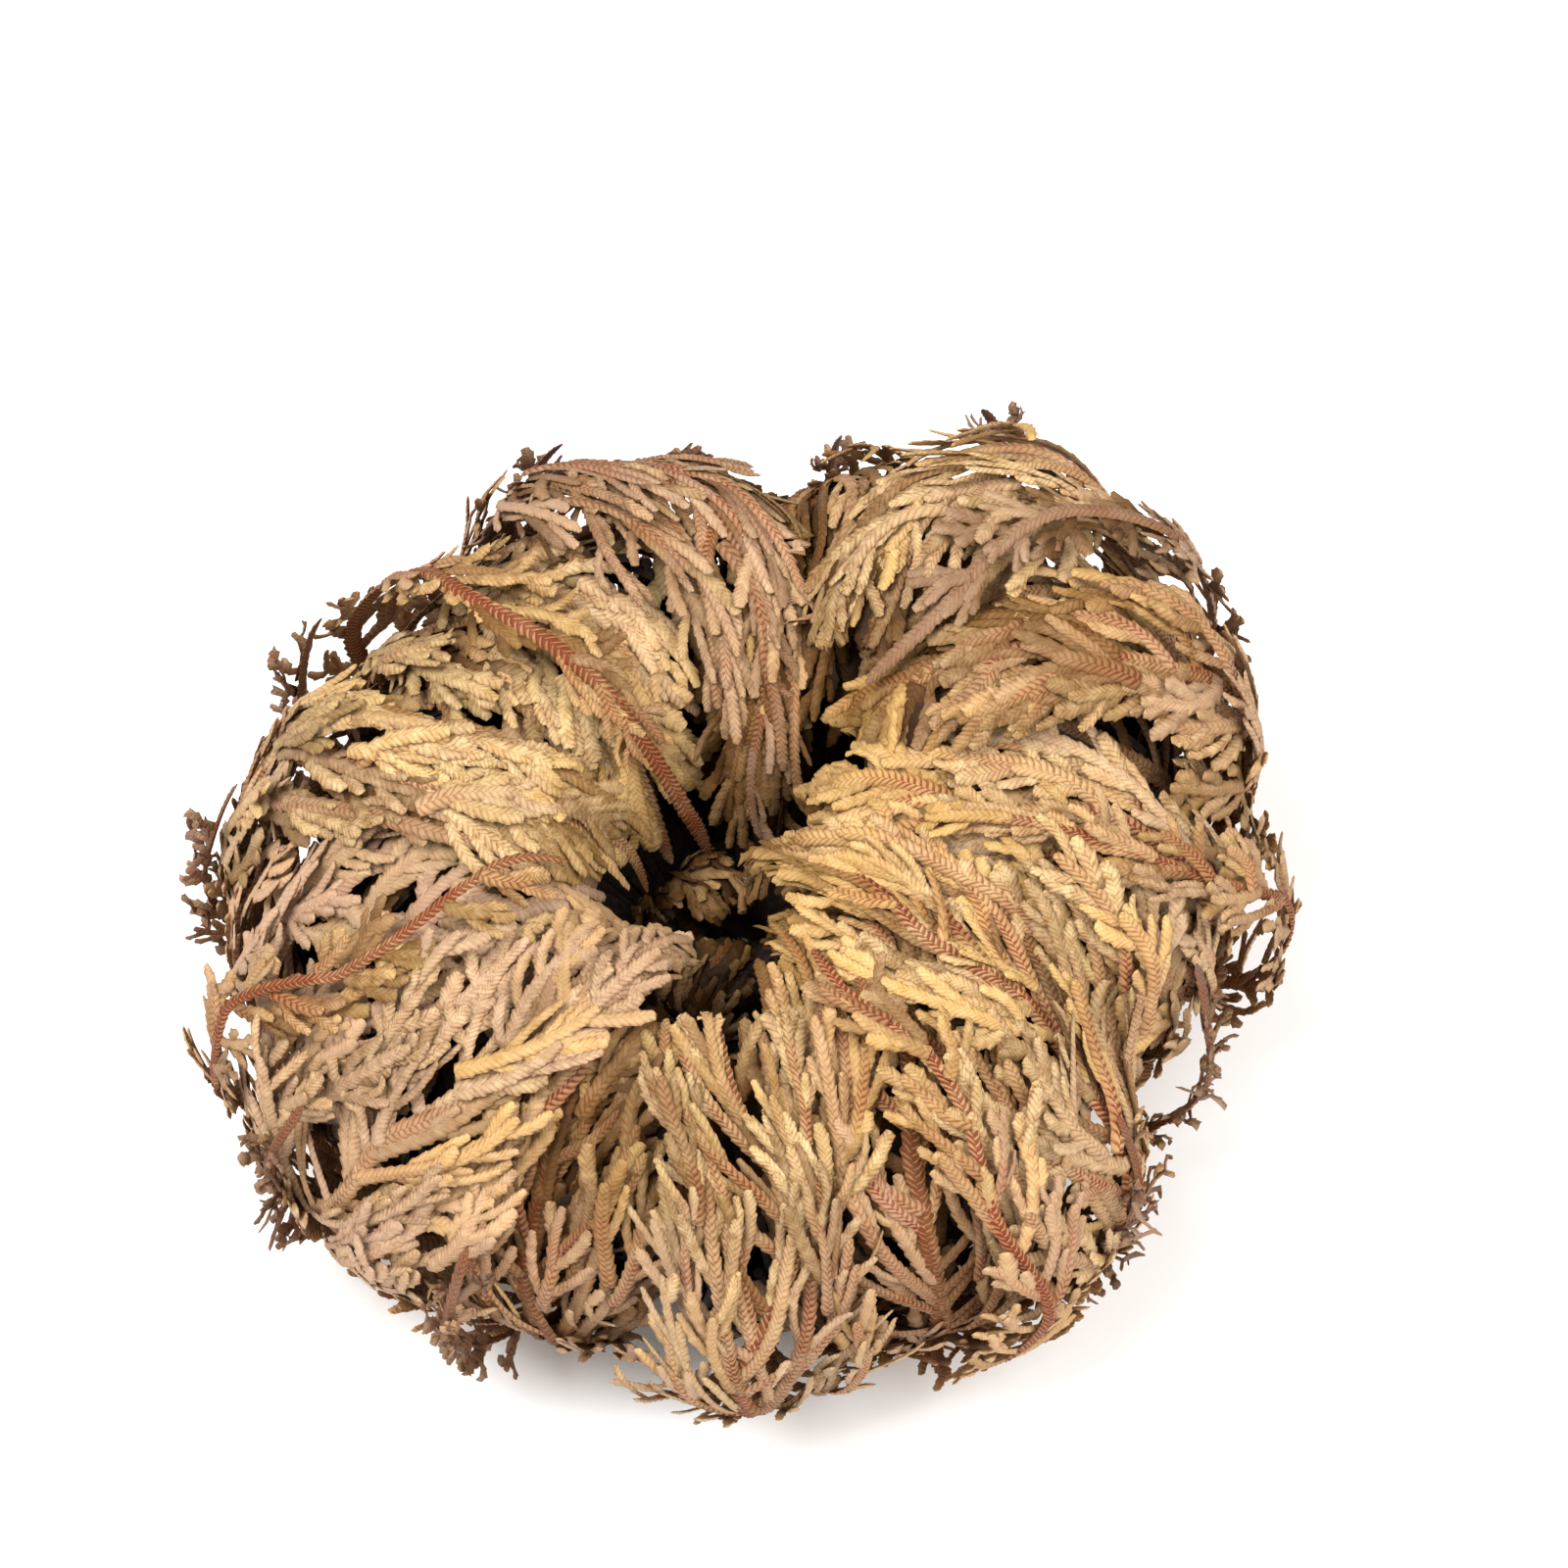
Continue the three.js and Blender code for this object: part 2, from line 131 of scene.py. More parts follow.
UNDER_FRONDS = [
    Plan(-167, 18, "mauve", ((2.5, 0), (5.5, 7), (6.5, 10), (7.5, 11), (8.5, 9)), light=1.4, grey=0.3,
         red=-0.25, end=8.1),
    Plan(-112, 18, "russet", ((2.5, 0), (5.7, -6), (6.5, -6), (7, -3), (8.5, 0)), light=-0.8,
         tip_light=-0.8, red=0.25, stem_red=0.6, end=6.6, combed=0.7),
    Plan(-67, 20, "russet", ((5.5, 0), (6.5, 5), (7.2, 10), (8.5, 14)), light=-0.6, tip_light=0.6,
         red=0.25, stem_red=0.4, gold=0.3, end=7.9, tip_depth=-0.35, combed=0.8),
    Plan(-4, 22, "straw", ((2.5, 0), (5.5, -7), (8.5, -2)), light=0.4, tip_light=0.2, red=0.2, gold=0.4,
         end=8.6, tip_depth=-0.9),
    Plan(36, 15, "straw", ((2.5, -6), (4.6, -10), (5.3, -4), (6, -1), (8.5, 0)), light=1.0, tip_light=-2,
         gold=0.5, end=7.3, combed=0.5),
    Plan(81, 19, "russet", ((5.5, 0), (8.9, -6)), light=-0.9, tip_light=-1.4, end=8.9, combed=0.6),
    Plan(147, 20, "straw", ((2.5, -2), (5.7, -5), (7.2, -3), (8.9, 0)), light=-0.2, tip_light=1.2,
         stem_red=0.2, end=9),
]
MID_FRONDS = [
    Plan(-160, 20, "straw"),
    Plan(-117, 20, "straw", light=-1.0, end=6.9),
    Plan(-73, 20, "russet", light=-1.0, end=6.9),
    Plan(-30, 20, "straw"),
    Plan(12, 19, "straw"),
    Plan(56, 22, "russet", light=-1.2, end=8.2),
    Plan(103, 21, "straw", ((2.5, 4), (8.9, 2))),
    Plan(151, 21, "russet", ((2.5, -4), (8.9, -2)), light=0.6),
]
RIDER_FRONDS = [
    Plan(-163, 9, "russet", ((2.5, 2), (4.7, 5), (5.5, 10), (6.5, 11), (8.5, 8)), stem_red=0.5,
         stout=0.65, end=7.2, reach=0.6),
    Plan(-60, 9, "russet", ((5.6, 0), (6.2, -2), (6.7, -8), (8.5, -10)), light=0.4, stem_red=0.3,
         stout=0.8, end=7.2),
    Plan(2, 9, "russet", ((2.5, 0), (4.2, -5), (4.8, -11), (5.3, -16), (5.9, -22), (8.5, -24)),
         stem_red=0.3, stout=0.7, end=7.2),
    Plan(40, 9, "mauve", ((2.5, -3), (5, -6), (5.7, -3), (6.4, -1)), light=-0.7, grey=0.4, end=7.4,
         reach=0.5),
    Plan(137, 9, "russet", ((2.5, 2), (5, 8), (6.4, 9), (7.4, 10), (8.2, 7), (9, -4)), light=-0.1,
         stem_red=0.6, end=8.9),
]
INNER_FRONDS = [Plan(azimuth, 31, tone) for azimuth, tone in (
    (-144, "russet"), (-75, "straw"), (-5, "russet"), (67, "straw"), (141, "russet"),
)]
HEART_FRONDS = [Plan(azimuth, 36, "russet") for azimuth in (-120, -35, 50, 140)]
DEAD_FRONDS = [Plan(azimuth, span, "dead") for azimuth, span in (
    (-148, 5), (-121, 4), (-45, 5), (-22, 4), (62, 4), (80, 5), (118, 4), (152, 5), (176, 4),
)]


@dataclass
class Ring:
    """What the fronds of a ring have in common. Ways and depths are the ball's, the rest millimetres."""

    fronds: list
    depths: tuple  # at the rootstock and further out
    edge_depth: float = 0  # how much deeper a frond's edges lie
    tip_depth: float = 0  # the same for its tip
    first: float = 1.3  # the way of its first branch
    last: float = 7.4  # and of its last one
    end: float = 8.9  # and of its tip
    stem: tuple = (1.2, 0.66)  # half the stem's width at the rootstock and at its tip
    room: tuple = BALL  # the two curls that it lies between
    usual_span: float = 16  # wider fronds have more and longer branches than narrower ones
    pitch: float = 0.34  # the way from one branch to the next on its side
    reach: float = 17  # a branch's length
    branch: float = 0.82  # half a branch's width
    leaders: int = 0  # long side stems that run up along with the stem
    sprigs: float = 0.4  # short loose branches on top, for each branch from the stem
    fingers: int = 8  # on each branch
    finger_length: float = 5.2
    finger: float = 0.64  # half a finger's width
    wander: float = 1.8  # how far the stem strays to the sides
    swell: float = 0.9  # how far the whole frond waves in and out
    rise: float = 2  # how far branch tips stand off the frond's sheet
    tilt: float = 21  # how far a branch's fan turns about the branch, in degrees
    hook: tuple = (-0.3, 0.5)  # how far strands bend out of the sheet towards their tips, in radians
    light: float = 0  # painted light and shade for the whole ring, lighter above 0 and darker below: deeper rings lie in shade


RINGS = {
    "over_frond": Ring(OVER_FRONDS, (0, 0), 0.1, leaders=3),
    "under_frond": Ring(UNDER_FRONDS, (0.22, 0.22), 0.1, leaders=2, pitch=0.36, rise=2.6, light=-0.1),
    "mid_frond": Ring(
        MID_FRONDS, (0.46, 0.46), 0.08, usual_span=21, first=0.8, pitch=0.48, sprigs=0.1, fingers=4,
        finger=0.76, light=-0.6,
    ),
    "inner_frond": Ring(
        INNER_FRONDS, (0.72, 0.72), 0.08, usual_span=31, first=0.7, last=7.2, pitch=0.66, sprigs=0,
        fingers=4, finger=0.74, light=-2.2,
    ),
    "heart_frond": Ring(
        HEART_FRONDS, (0.1, 0.1), 0.3, room=HEART, usual_span=36, first=1.0, last=6.6, end=8.6,
        stem=(0.9, 0.45), pitch=0.42, reach=6.0, branch=0.55, sprigs=0, fingers=3, finger_length=3.0,
        finger=0.45, swell=0.3, rise=0.9, light=-1.6,
    ),
    "rider_frond": Ring(
        RIDER_FRONDS, (-0.18, -0.125), usual_span=9, first=1.6, last=7.2, end=8, stem=(0.98, 0.72),
        pitch=0.36, reach=9.0, sprigs=0, branch=0.64, fingers=4, finger_length=3.8, finger=0.55,
        wander=2.6, swell=0.6, rise=0.8,
    ),
    "dead_frond": Ring(
        DEAD_FRONDS, (-0.2, -0.11), tip_depth=-0.05, usual_span=4.5, first=2.2, last=4.4, end=4.8,
        stem=(0.9, 0.5), pitch=0.25, reach=4.0, branch=0.5, sprigs=0, fingers=3, finger_length=2.5,
        finger=0.42, rise=1.2, tilt=50, hook=(0.5, 4.0),
    ),
}

# Where along the way a frond's form and look change. The crest is at about 6 and the hollow from 7.
CLEAR_OF_ROOT = (0.5, 2.5)  # it starts to wave, and its stem to stray
SETTLED = (0.5, 3)  # it reaches its own depth
OLD = (1.8, 3.6)  # up to here its leaves are old and dark
WEATHERED = (4.6, 5.8)  # up to here sun and rain have turned them mauve-grey; they are paler there too
RIPE = (5.6, 7)  # from here on it has the look of its tip
CURLED_IN = (6, 7.6)  # it waves less
LEVEL_EDGES = (6, 8.5)  # its edges bend less
SPREADING = (6, 7.8)  # a tip that spreads does so
SHELTERED = (6.6, 7.8)  # from here on its leaves stay golden
SUNK = (7.5, 8.8)  # painted shade darkens the bottom of the hollow
TIP_WAYS = 2  # the stretch before its end over which its tip bends


# ---- Small helpers ----
def mix(a, b, share):
    """From a to b as share goes from 0 to 1."""
    return a + (b - a) * share


def ease(t):
    """A soft start and stop: three t squared less two t cubed."""
    return t * t * (3 - 2 * t)


def smooth(start, stop, x):
    """0 up to start, 1 from stop on, eased between."""
    return ease(np.clip((x - start) / (stop - start), 0, 1))


def unit(vectors):
    """The same directions, each of length 1."""
    return vectors / np.maximum(np.linalg.norm(vectors, axis=-1, keepdims=True), 1e-12)


# ---- The ball's own coordinates ----
def curve_at(points, way):
    """A Catmull-Rom curve through evenly timed points, whose end tangents use the end point twice."""
    points = np.array(points, float)
    last = len(points) - 1
    at = np.clip(way / WAY_END, 0, 1) * last
    i = np.minimum(at.astype(int), last - 1)
    t = (at - i)[..., None]
    before, start = points[np.maximum(i - 1, 0)], points[i]
    stop, after = points[i + 1], points[np.minimum(i + 2, last)]
    leave, arrive = (stop - before) / 2, (after - start) / 2
    cubic = 2 * (start - stop) + leave + arrive
    square = 3 * (stop - start) - 2 * leave - arrive
    return ((cubic * t + square) * t + leave) * t + start


def around(points, azimuth):
    """The eased value at an azimuth in radians between the points of a closed list of (degrees, value)."""
    at, value = np.array(points + [(points[0][0] + 360, points[0][1])], float).T
    degrees = (np.degrees(azimuth) - at[0]) % 360 + at[0]
    i = np.clip(np.searchsorted(at, degrees, side="right") - 1, 0, len(points) - 1)
    return mix(value[i], value[i + 1], ease((degrees - at[i]) / (at[i + 1] - at[i])))


def settle(radius, azimuth, height):
    """From the even, round ball to the real one: lobed, narrower front to back, higher at the back."""
    lobe = around(LOBES, azimuth)
    x = radius * lobe * np.cos(azimuth)
    y = radius * lobe * DEEP_SHARE * np.sin(azimuth)
    return np.stack([x, y, height * mix(1, lobe, LOBE_HEIGHT_SHARE) * (1 + LEAN * y)], axis=-1)


def place_in(room, way, azimuth, depth):
    """The point at a way, azimuth and depth: between two curls, swept round the axis, then settled."""
    radius, height = mix(curve_at(room[0], way), curve_at(room[1], way), depth[..., None]).T
    swept = azimuth + np.radians(around(SWEEPS, azimuth)) * smooth(*SWEEP_WAYS, way)
    return settle(radius, swept, height)


BENT_TO = 1.3  # half widths from the stem past which a sheet bends no further
EDGE_EASING = 0.55
MOST_LAG, LAG_SHARE = 0.45, 0.25  # of a swerve, and of the half width
SWELLS = ((1, 1.2, 2.6), (0.7, 2.4, -2), (0.6, 0.6, 4.5), (0.4, 5.2, 3))  # height, by way, by share across
SWELL_SUM = 1.6  # what they seldom add up to more than


class Sheet:
    """The arched sheet that a frond lies in, where (way, angle from the stem) gives a point."""

    def __init__(self, ring, plan, draw):
        self.ring = ring
        self.plan = plan
        self.azimuth = math.radians(plan.azimuth)
        self.span = math.radians(plan.span)
        self.end = plan.end or ring.end
        self.tip_depth = ring.tip_depth + plan.tip_depth
        self.swerve_ways, self.swerve = np.array(plan.swerve, float).T
        self.starts = draw.uniform(0, 2 * math.pi, len(SWELLS))

    def place(self, way, angle):
        """The point at a way and an angle.

        Edges and tip lie deeper or shallower than the stem by the square of the share out to the
        edge. Where the stem swerves, the edges lag behind it by the same square.
        """
        ring = self.ring
        to_edge = np.clip(angle / self.span, -BENT_TO, BENT_TO) ** 2
        bend = ring.edge_depth * (1 - EDGE_EASING * smooth(*LEVEL_EDGES, way))
        tip = self.tip_depth * smooth(self.end - TIP_WAYS, self.end, way)
        middle = mix(*ring.depths, smooth(*SETTLED, way))
        depth = middle + bend * to_edge + tip
        turn = np.radians(np.interp(way, self.swerve_ways, self.swerve))
        lag = np.minimum(MOST_LAG, LAG_SHARE * self.span / np.maximum(np.abs(turn), 1e-3))
        spread = angle * (1 + self.plan.tip_spread * smooth(*SPREADING, way))
        return place_in(ring.room, way, self.azimuth + spread + turn * (1 - lag * to_edge), depth)

    def waviness(self, way, angle):
        """How far the frond waves out at a point, in millimetres: a sum of sine waves."""
        share = angle / self.span
        waves = sum(
            height * np.sin(by_way * way + by_share * share + start)
            for (height, by_way, by_share), start in zip(SWELLS, self.starts)
        )
        fade = smooth(*CLEAR_OF_ROOT, way) * mix(1, 0.35, smooth(*CURLED_IN, way))
        return self.ring.swell * waves / SWELL_SUM * fade

    def slopes(self, way, angle, step=0.02):
        """Millimetres moved for one unit of way and for one radian of angle, as vectors."""
        along = self.place(way + step, angle) - self.place(way - step, angle)
        across = self.place(way, angle + step) - self.place(way, angle - step)
        return along / (2 * step), across / (2 * step)

    def stretch(self, way, angle):
        """The lengths of those two."""
        along, across = self.slopes(way, angle)
        return np.linalg.norm(along, axis=-1), np.linalg.norm(across, axis=-1)


# ---- Strands ----
# A strand is a stem, branch or finger with its scale leaves: a flat ribbon, closed at both ends.
# Two rows of scales meet along its middle, each scale lifting a little over the next one's root.
UNDERSIDE_SHARE = 0.45  # of its true width, in the map for baking
SCALE_TIP = 0.86  # the share of a scale's length at which its tip stands highest
NARROW, WIDE = 0.87, 1.12  # a strand's width at scale roots and at scale tips


class Profile:
    """The corners round a strand: its left edge, over its ridge to its right edge, and one below."""

    def __init__(self, scale_length, count, side, low, high, ahead):
        self.scale_length = scale_length  # millimetres from one modelled scale to the next
        self.count = count  # scales drawn on each modelled scale
        self.side = np.array(side, float)  # share of half the width
        self.low = np.array(low)  # height at a scale's root
        self.high = np.array(high)  # and at its tip
        self.ahead = np.array(ahead)  # how far ahead of its ring a corner stands, in scales
        self.columns = len(side)
        self.across = np.append(self.side[:-1], 1)
        steps = np.abs(np.diff(np.append(self.side, self.side[0])))
        steps[-2:] *= UNDERSIDE_SHARE
        self.unrolled = np.append(0, np.cumsum(steps))


BROAD = Profile(
    scale_length=1.1, count=1.9, side=(-1, -0.52, 0, 0.52, 1, 0), ahead=(0.5, 0.3, 0, 0, 0.2, 0),
    low=(-0.05, 0.28, 0.2, 0.28, -0.05, -0.27), high=(-0.02, 0.36, 0.26, 0.36, -0.02, -0.27),
)
FINE = Profile(
    scale_length=1.25, count=2.4, side=(-1, 0, 1, 0), ahead=(0.35, 0, 0.2, 0),
    low=(-0.06, 0.28, -0.06, -0.25), high=(-0.03, 0.35, -0.03, -0.25),
)


class Rings(SimpleNamespace):
    """The rings of many strands: arrays with one entry a ring, in order along each strand.

    They are strand, share (0 at its root to 1 at its tip), scale (how many along), way, angle, lift,
    heading (radians from straight up the way), roll, half (of the width), red, grey, light (lighter
    above 0 and darker below, much of it painted light and shade) and gold (olive below 0).
    """


def rings_for(lengths, profile):
    """Two rings a scale, at its root and just under its tip, and one to close each strand."""
    scales = np.maximum(3, np.round(lengths / profile.scale_length)).astype(int)
    counts = 2 * scales + 1
    strand = np.repeat(np.arange(len(lengths)), counts)
    index = np.arange(counts.sum()) - np.repeat(np.cumsum(counts) - counts, counts)
    scale = index // 2 + np.where(index % 2, SCALE_TIP, 0.0)
    return Rings(strand=strand, share=scale / scales[strand], scale=scale)


def blunt(share, lengths, half):
    """1 along a strand, falling as a quarter ellipse over its last rounded stretch."""
    round_share = np.clip(1.3 * half / lengths, 0.05, 0.5)
    beyond = np.clip((share - 1 + round_share) / round_share, 0, 1)
    return np.sqrt(np.clip(1 - beyond**2, 0.03, 1))


def joined(groups):
    """Several groups of rings as one, with the strands numbered on. Empty groups are left out."""
    groups = [group for group in groups if len(group.strand)]
    start = np.cumsum([0] + [group.strand[-1] + 1 for group in groups[:-1]])
    rings = Rings(**{
        name: np.concatenate([getattr(group, name) for group in groups]) for name in vars(groups[0])
    })
    rings.strand = np.concatenate([group.strand + at for group, at in zip(groups, start)])
    return rings


STEPS = 10
STEP_SHARES = (np.arange(STEPS) + 0.5) / STEPS


class Strands(SimpleNamespace):
    """Branches or fingers, which walk over a sheet in equal steps.

    way, angle, lift and heading are tables of (step, strand). Their own roll, half, red, grey, light
    and gold are arrays with one entry a strand. What follows is the same for all of them.
    """

    set_in = 0.25  # the share of the length by which they have their full roll
    root_width = 1  # before that, against their width
    taper = 1  # their width at the tip, against the root
    tip_red = 0.6  # what is left there of their red-brown
    shading = (-0.3, 0.2)  # painted shade at the root, where they lie under what they grow from, and painted light at the tip: how much lighter they are there

    def walk(self, sheet, way, angle, lift, headings, pitches):
        """Each step has a heading in the sheet and a pitch out of it, both in radians."""
        rows = [(way, angle, lift, headings[0])]
        step = self.length / STEPS
        for heading, pitch in zip(headings, pitches):
            along, across = sheet.stretch(way, angle)
            level = step * np.cos(pitch)
            way = np.minimum(way + np.cos(heading) * level / along, sheet.end)
            angle = angle + np.sin(heading) * level / across
            lift = lift + step * np.sin(pitch)
            rows.append((way, angle, lift, heading))
        self.way, self.angle, self.lift, self.heading = (np.array(column) for column in zip(*rows))

    def at(self, strand, share):
        """The way, angle, lift and heading at a share of a strand."""
        step = np.minimum((share * STEPS).astype(int), STEPS - 1)
        tables = (self.way, self.angle, self.lift, self.heading)
        return [mix(t[step, strand], t[step + 1, strand], share * STEPS - step) for t in tables]


# ---- How a frond grows ----
# How red-brown and how mauve-grey the fronds of a tone are, from 0 to 1.
TONE_MARKS = {"straw": (0.45, 0.1), "russet": (0.68, 0.14), "mauve": (0.32, 0.48), "dead": (0.4, 0.5)}
BRAIDED = 0.5  # branches more red-brown than this have the broad profile
# how much darker the old low leaves are, and the painted shade at the bottom of the hollow
OLD_SHADE, SUNK_SHADE = 0.6, 0.7
# how much more mauve-grey and how much lighter they are outside the crest
WORN_GREY, PALER_OUTSIDE = 0.42, 0.8
SHELTERED_GOLD, MOST_GOLD = 1.2, 1.2
STEM_SAMPLES = 90
WANDER_SHARE = 0.07  # of the frond's half width, for each unit of wander
WANDER_PACES = (1.3, 2.1, 3.4)
KEPT_SHARE = 0.94  # of the branches that there is room for
LEADER_ROOT, LEADER_STEP = 2.2, 1.1  # the ways at which the first leader leaves, and each one after it
LEADER_LENGTH, SPRIG_LENGTH = 2.6, 0.55  # against other branches
LEADER_RISE = 0.3
FLATTER = 0.2  # how far strands still bend out of the sheet beyond the crest


def shade_by_lift(lift):
    """Painted light and shade: lighter above the sheet, and darker below it where strands lie in shade."""
    return np.clip((lift - 0.6) * 0.8, -1.2, 0.5)


class Frond:
    """Grows the strands of one frond.

    Branches leave the stem left and right in turn and bend over to run along with it. Each carries
    fingers on both sides, which leave at a narrow angle and straighten. All that a branch carries
    lies in a plane of its own, tilted about the branch, so that fans overlap like feathers.
    """

    def __init__(self, sheet, plan, draw):
        self.sheet = sheet
        self.ring = sheet.ring
        self.plan = plan
        self.draw = draw
        red, grey = TONE_MARKS[plan.tone]
        self.red = red + plan.red
        self.grey = grey + plan.grey
        self.light = self.ring.light + plan.light
        self.slim = 1 - 0.24 * plan.combed
        self.wander = draw.uniform(-1, 1, len(WANDER_PACES)) * self.ring.wander

    def stem_angle(self, way):
        """How far the stem strays at a way: a sum of sine waves that fades in."""
        waves = sum(wander * np.sin(way * pace) for wander, pace in zip(self.wander, WANDER_PACES))
        return self.sheet.span * WANDER_SHARE * smooth(*CLEAR_OF_ROOT, way) * waves

    def stem(self):
        """The rings of the stem, which are evenly spaced along its length."""
        sheet, plan = self.sheet, self.plan
        way = np.linspace(0, sheet.end, STEM_SAMPLES)
        places = sheet.place(way, np.zeros_like(way))
        passed = np.append(0, np.cumsum(np.linalg.norm(np.diff(places, axis=0), axis=-1)))
        rings = rings_for(passed[-1:], BROAD)
        rings.way = way = np.interp(rings.share * passed[-1], passed, way)
        rings.angle = self.stem_angle(way)
        rings.lift = 0.3 + 0.25 * np.sin(way * 1.7 + self.wander[0] * 3)
        rings.heading = rings.gold = np.zeros_like(way)
        rings.roll = 0.25 * np.sin(way + self.wander[1] * 3)
        rings.half = mix(*self.ring.stem, smooth(0.5, sheet.end, way)) * plan.stout
        rings.half = rings.half * blunt(rings.share, passed[-1], 1)
        rings.red = np.clip(self.red + plan.stem_red + 0.45 - 0.35 * smooth(3, 8.5, way), 0, 1.4)
        rings.grey = np.full_like(way, self.grey)
        rings.light = np.full_like(way, self.light)
        return rings

    def branches(self):
        """The branches, the leaders first, and the loose sprigs that lie across them."""
        ring, sheet, plan, combed = self.ring, self.sheet, self.plan, self.plan.combed
        breadth = math.degrees(sheet.span) / ring.usual_span
        pitch = ring.pitch / mix(1, breadth, 0.7) * (1 - 0.15 * combed)
        last = min(ring.last, sheet.end - 0.4)
        count = int(round((last - ring.first) / pitch))
        number = np.flatnonzero(self.draw.random(2 * count) < KEPT_SHARE)
        sprigs = int(len(number) * ring.sprigs)
        loose = np.arange(len(number) + sprigs) >= len(number)
        number = np.append(number, np.arange(sprigs))
        order = np.arange(len(number))
        leader = order < ring.leaders
        side = np.where(number % 2, 1.0, -1.0)
        varied = partial(self.draw.uniform, size=len(number))

        # Where each leaves the stem
        root = ring.first + pitch * (number / 2 + 0.25 + varied(-0.22, 0.22))
        root = np.where(loose, varied(ring.first + 0.4, last), root)
        root = np.where(leader, LEADER_ROOT + LEADER_STEP * order, root)
        root_angle = np.where(loose, sheet.span * varied(-0.7, 0.7), self.stem_angle(root))

        # How long it is, and how far it leans out to fill the frond's width
        along, across = sheet.stretch(np.minimum(root + 0.8, 8.5), side * sheet.span * 0.5)
        length = ring.reach * plan.reach * mix(1, breadth, 0.6)
        length = length * mix(1.0, 0.62, smooth(5.0, 7.4, root)) * varied(0.72, 1.22) * (1 + 0.35 * combed)
        length = length * np.where(loose, SPRIG_LENGTH, 1) * np.where(leader, LEADER_LENGTH, 1)
        length = np.minimum(length, (sheet.end + 0.15 - root + varied(-0.3, 0.1)) * along)
        opens = max(plan.opens, ring.first)
        fill = mix(0.4, 0.98, smooth(opens - 0.6, opens + 2.2, root))
        wanted = (side * sheet.span * fill * varied(0.55, 1.1) - root_angle) * across
        lean = np.arcsin(np.clip(wanted / length, -0.5, 0.5)) + varied(-0.14, 0.14)
        lean = np.where(loose, varied(-0.5, 0.5) * (1 - 0.5 * combed), lean)
        wiggle, phase = varied(0.03, 0.16), varied(0, 6.3)
        headings = [lean * mix(1.5, 0.5, ease(p)) + wiggle * np.sin(6 * p + phase) for p in STEP_SHARES]

        # How it rises out of the sheet: half a sine wave, a parabola to its tip, and a hook there
        beyond_crest = smooth(5.6, 7.4, root + 0.8)
        low = np.where(leader, LEADER_RISE, 1)
        rise = varied(-0.3, 0.5) * ring.rise * low * mix(1, 0.4, beyond_crest)
        tip_rise = varied(-0.6, 1.0) * ring.rise * low * mix(1, 0.25, beyond_crest)
        hook = varied(*ring.hook) * low**2 * mix(1, FLATTER, beyond_crest)
        pitches = [
            (rise * math.pi * math.cos(math.pi * p) + 2 * tip_rise * p) / length + hook * p**3
            for p in STEP_SHARES
        ]
        start_lift = np.where(loose, varied(0.6, 1.4), varied(-0.2, 0.7))
        tilt = np.radians(varied(-1, 1) * ring.tilt)
        branches = Strands(
            length=length, number=number, tilt=tilt, roll=tilt + varied(-0.2, 0.2),
            half=ring.branch * varied(0.85, 1.15) * (1 + 0.08 * leader) * self.slim,
            red=np.clip(self.red + varied(-0.5, 0.5) + 0.5 * leader, 0, 1),
            grey=np.clip(self.grey + varied(-0.5, 0.5), 0, 1),
            light=varied(-1.1, 1.0) + self.light,
            gold=varied(-1, 1) + plan.gold,
            taper=ring.finger / ring.branch,
        )
        branches.walk(sheet, root, root_angle, start_lift, headings, pitches)
        return branches

    def fingers(self, branches):
        """The fingers of every branch, left and right of it in turn, in its tilted plane."""
        ring, sheet, combed = self.ring, self.sheet, self.plan.combed
        each = ring.fingers - round(3 * combed)
        parent = np.repeat(np.arange(len(branches.length)), each)
        turn = np.tile(np.arange(each), len(branches.length))
        hand = np.where((turn + branches.number[parent] // 2) % 2, 1.0, -1.0)
        varied = partial(self.draw.uniform, size=len(parent))
        at = mix(0.12, 0.93, ((turn + varied(0.15, 0.85)) / each) ** 0.85)
        way, angle, lift, heading = branches.at(parent, at)
        length = ring.finger_length * mix(1.25, 0.6, at) * varied(0.7, 1.25) * (1 + 0.4 * combed)
        along, _ = sheet.stretch(way, angle)
        length = np.clip((sheet.end + 0.1 - way) * along, 1.2, length)
        leave = varied(22, 46) * (1 - 0.3 * combed)
        arrive = varied(-6, 28) * (1 - 0.4 * combed)
        headings = [heading + hand * np.radians(mix(leave, arrive, ease(p))) for p in STEP_SHARES]
        beyond_crest = smooth(5.8, 7.6, way)
        hook = varied(*ring.hook) * mix(1, FLATTER, beyond_crest)
        lifting = varied(-0.05, 0.12) - 0.05 * beyond_crest
        pitches = [lifting + hook * p**2 for p in STEP_SHARES]
        tilt = branches.tilt[parent]
        fingers = Strands(
            length=length, roll=tilt + varied(-0.35, 0.35),
            half=ring.finger * self.slim * mix(0.8, 1.4, self.draw.random(len(parent)) ** 2),
            red=np.clip(branches.red[parent] * 0.7 + varied(-0.4, 0.2), 0, 1),
            grey=branches.grey[parent] + varied(-0.3, 0.15),
            light=branches.light[parent] + varied(-0.5, 0.5),
            gold=branches.gold[parent] + varied(-0.4, 0.4),
            # their shading: painted shade at the root under the branch, painted light at the tip
            set_in=0.4, root_width=0.85, tip_red=0.3, shading=(-0.45, 0.3),
        )
        fingers.walk(sheet, way, angle, lift - 0.12, headings, pitches)
        sideways = np.cumsum([np.sin(h - heading) * length / STEPS for h in headings], axis=0)
        fingers.lift[1:] += sideways * np.tan(tilt)
        return fingers

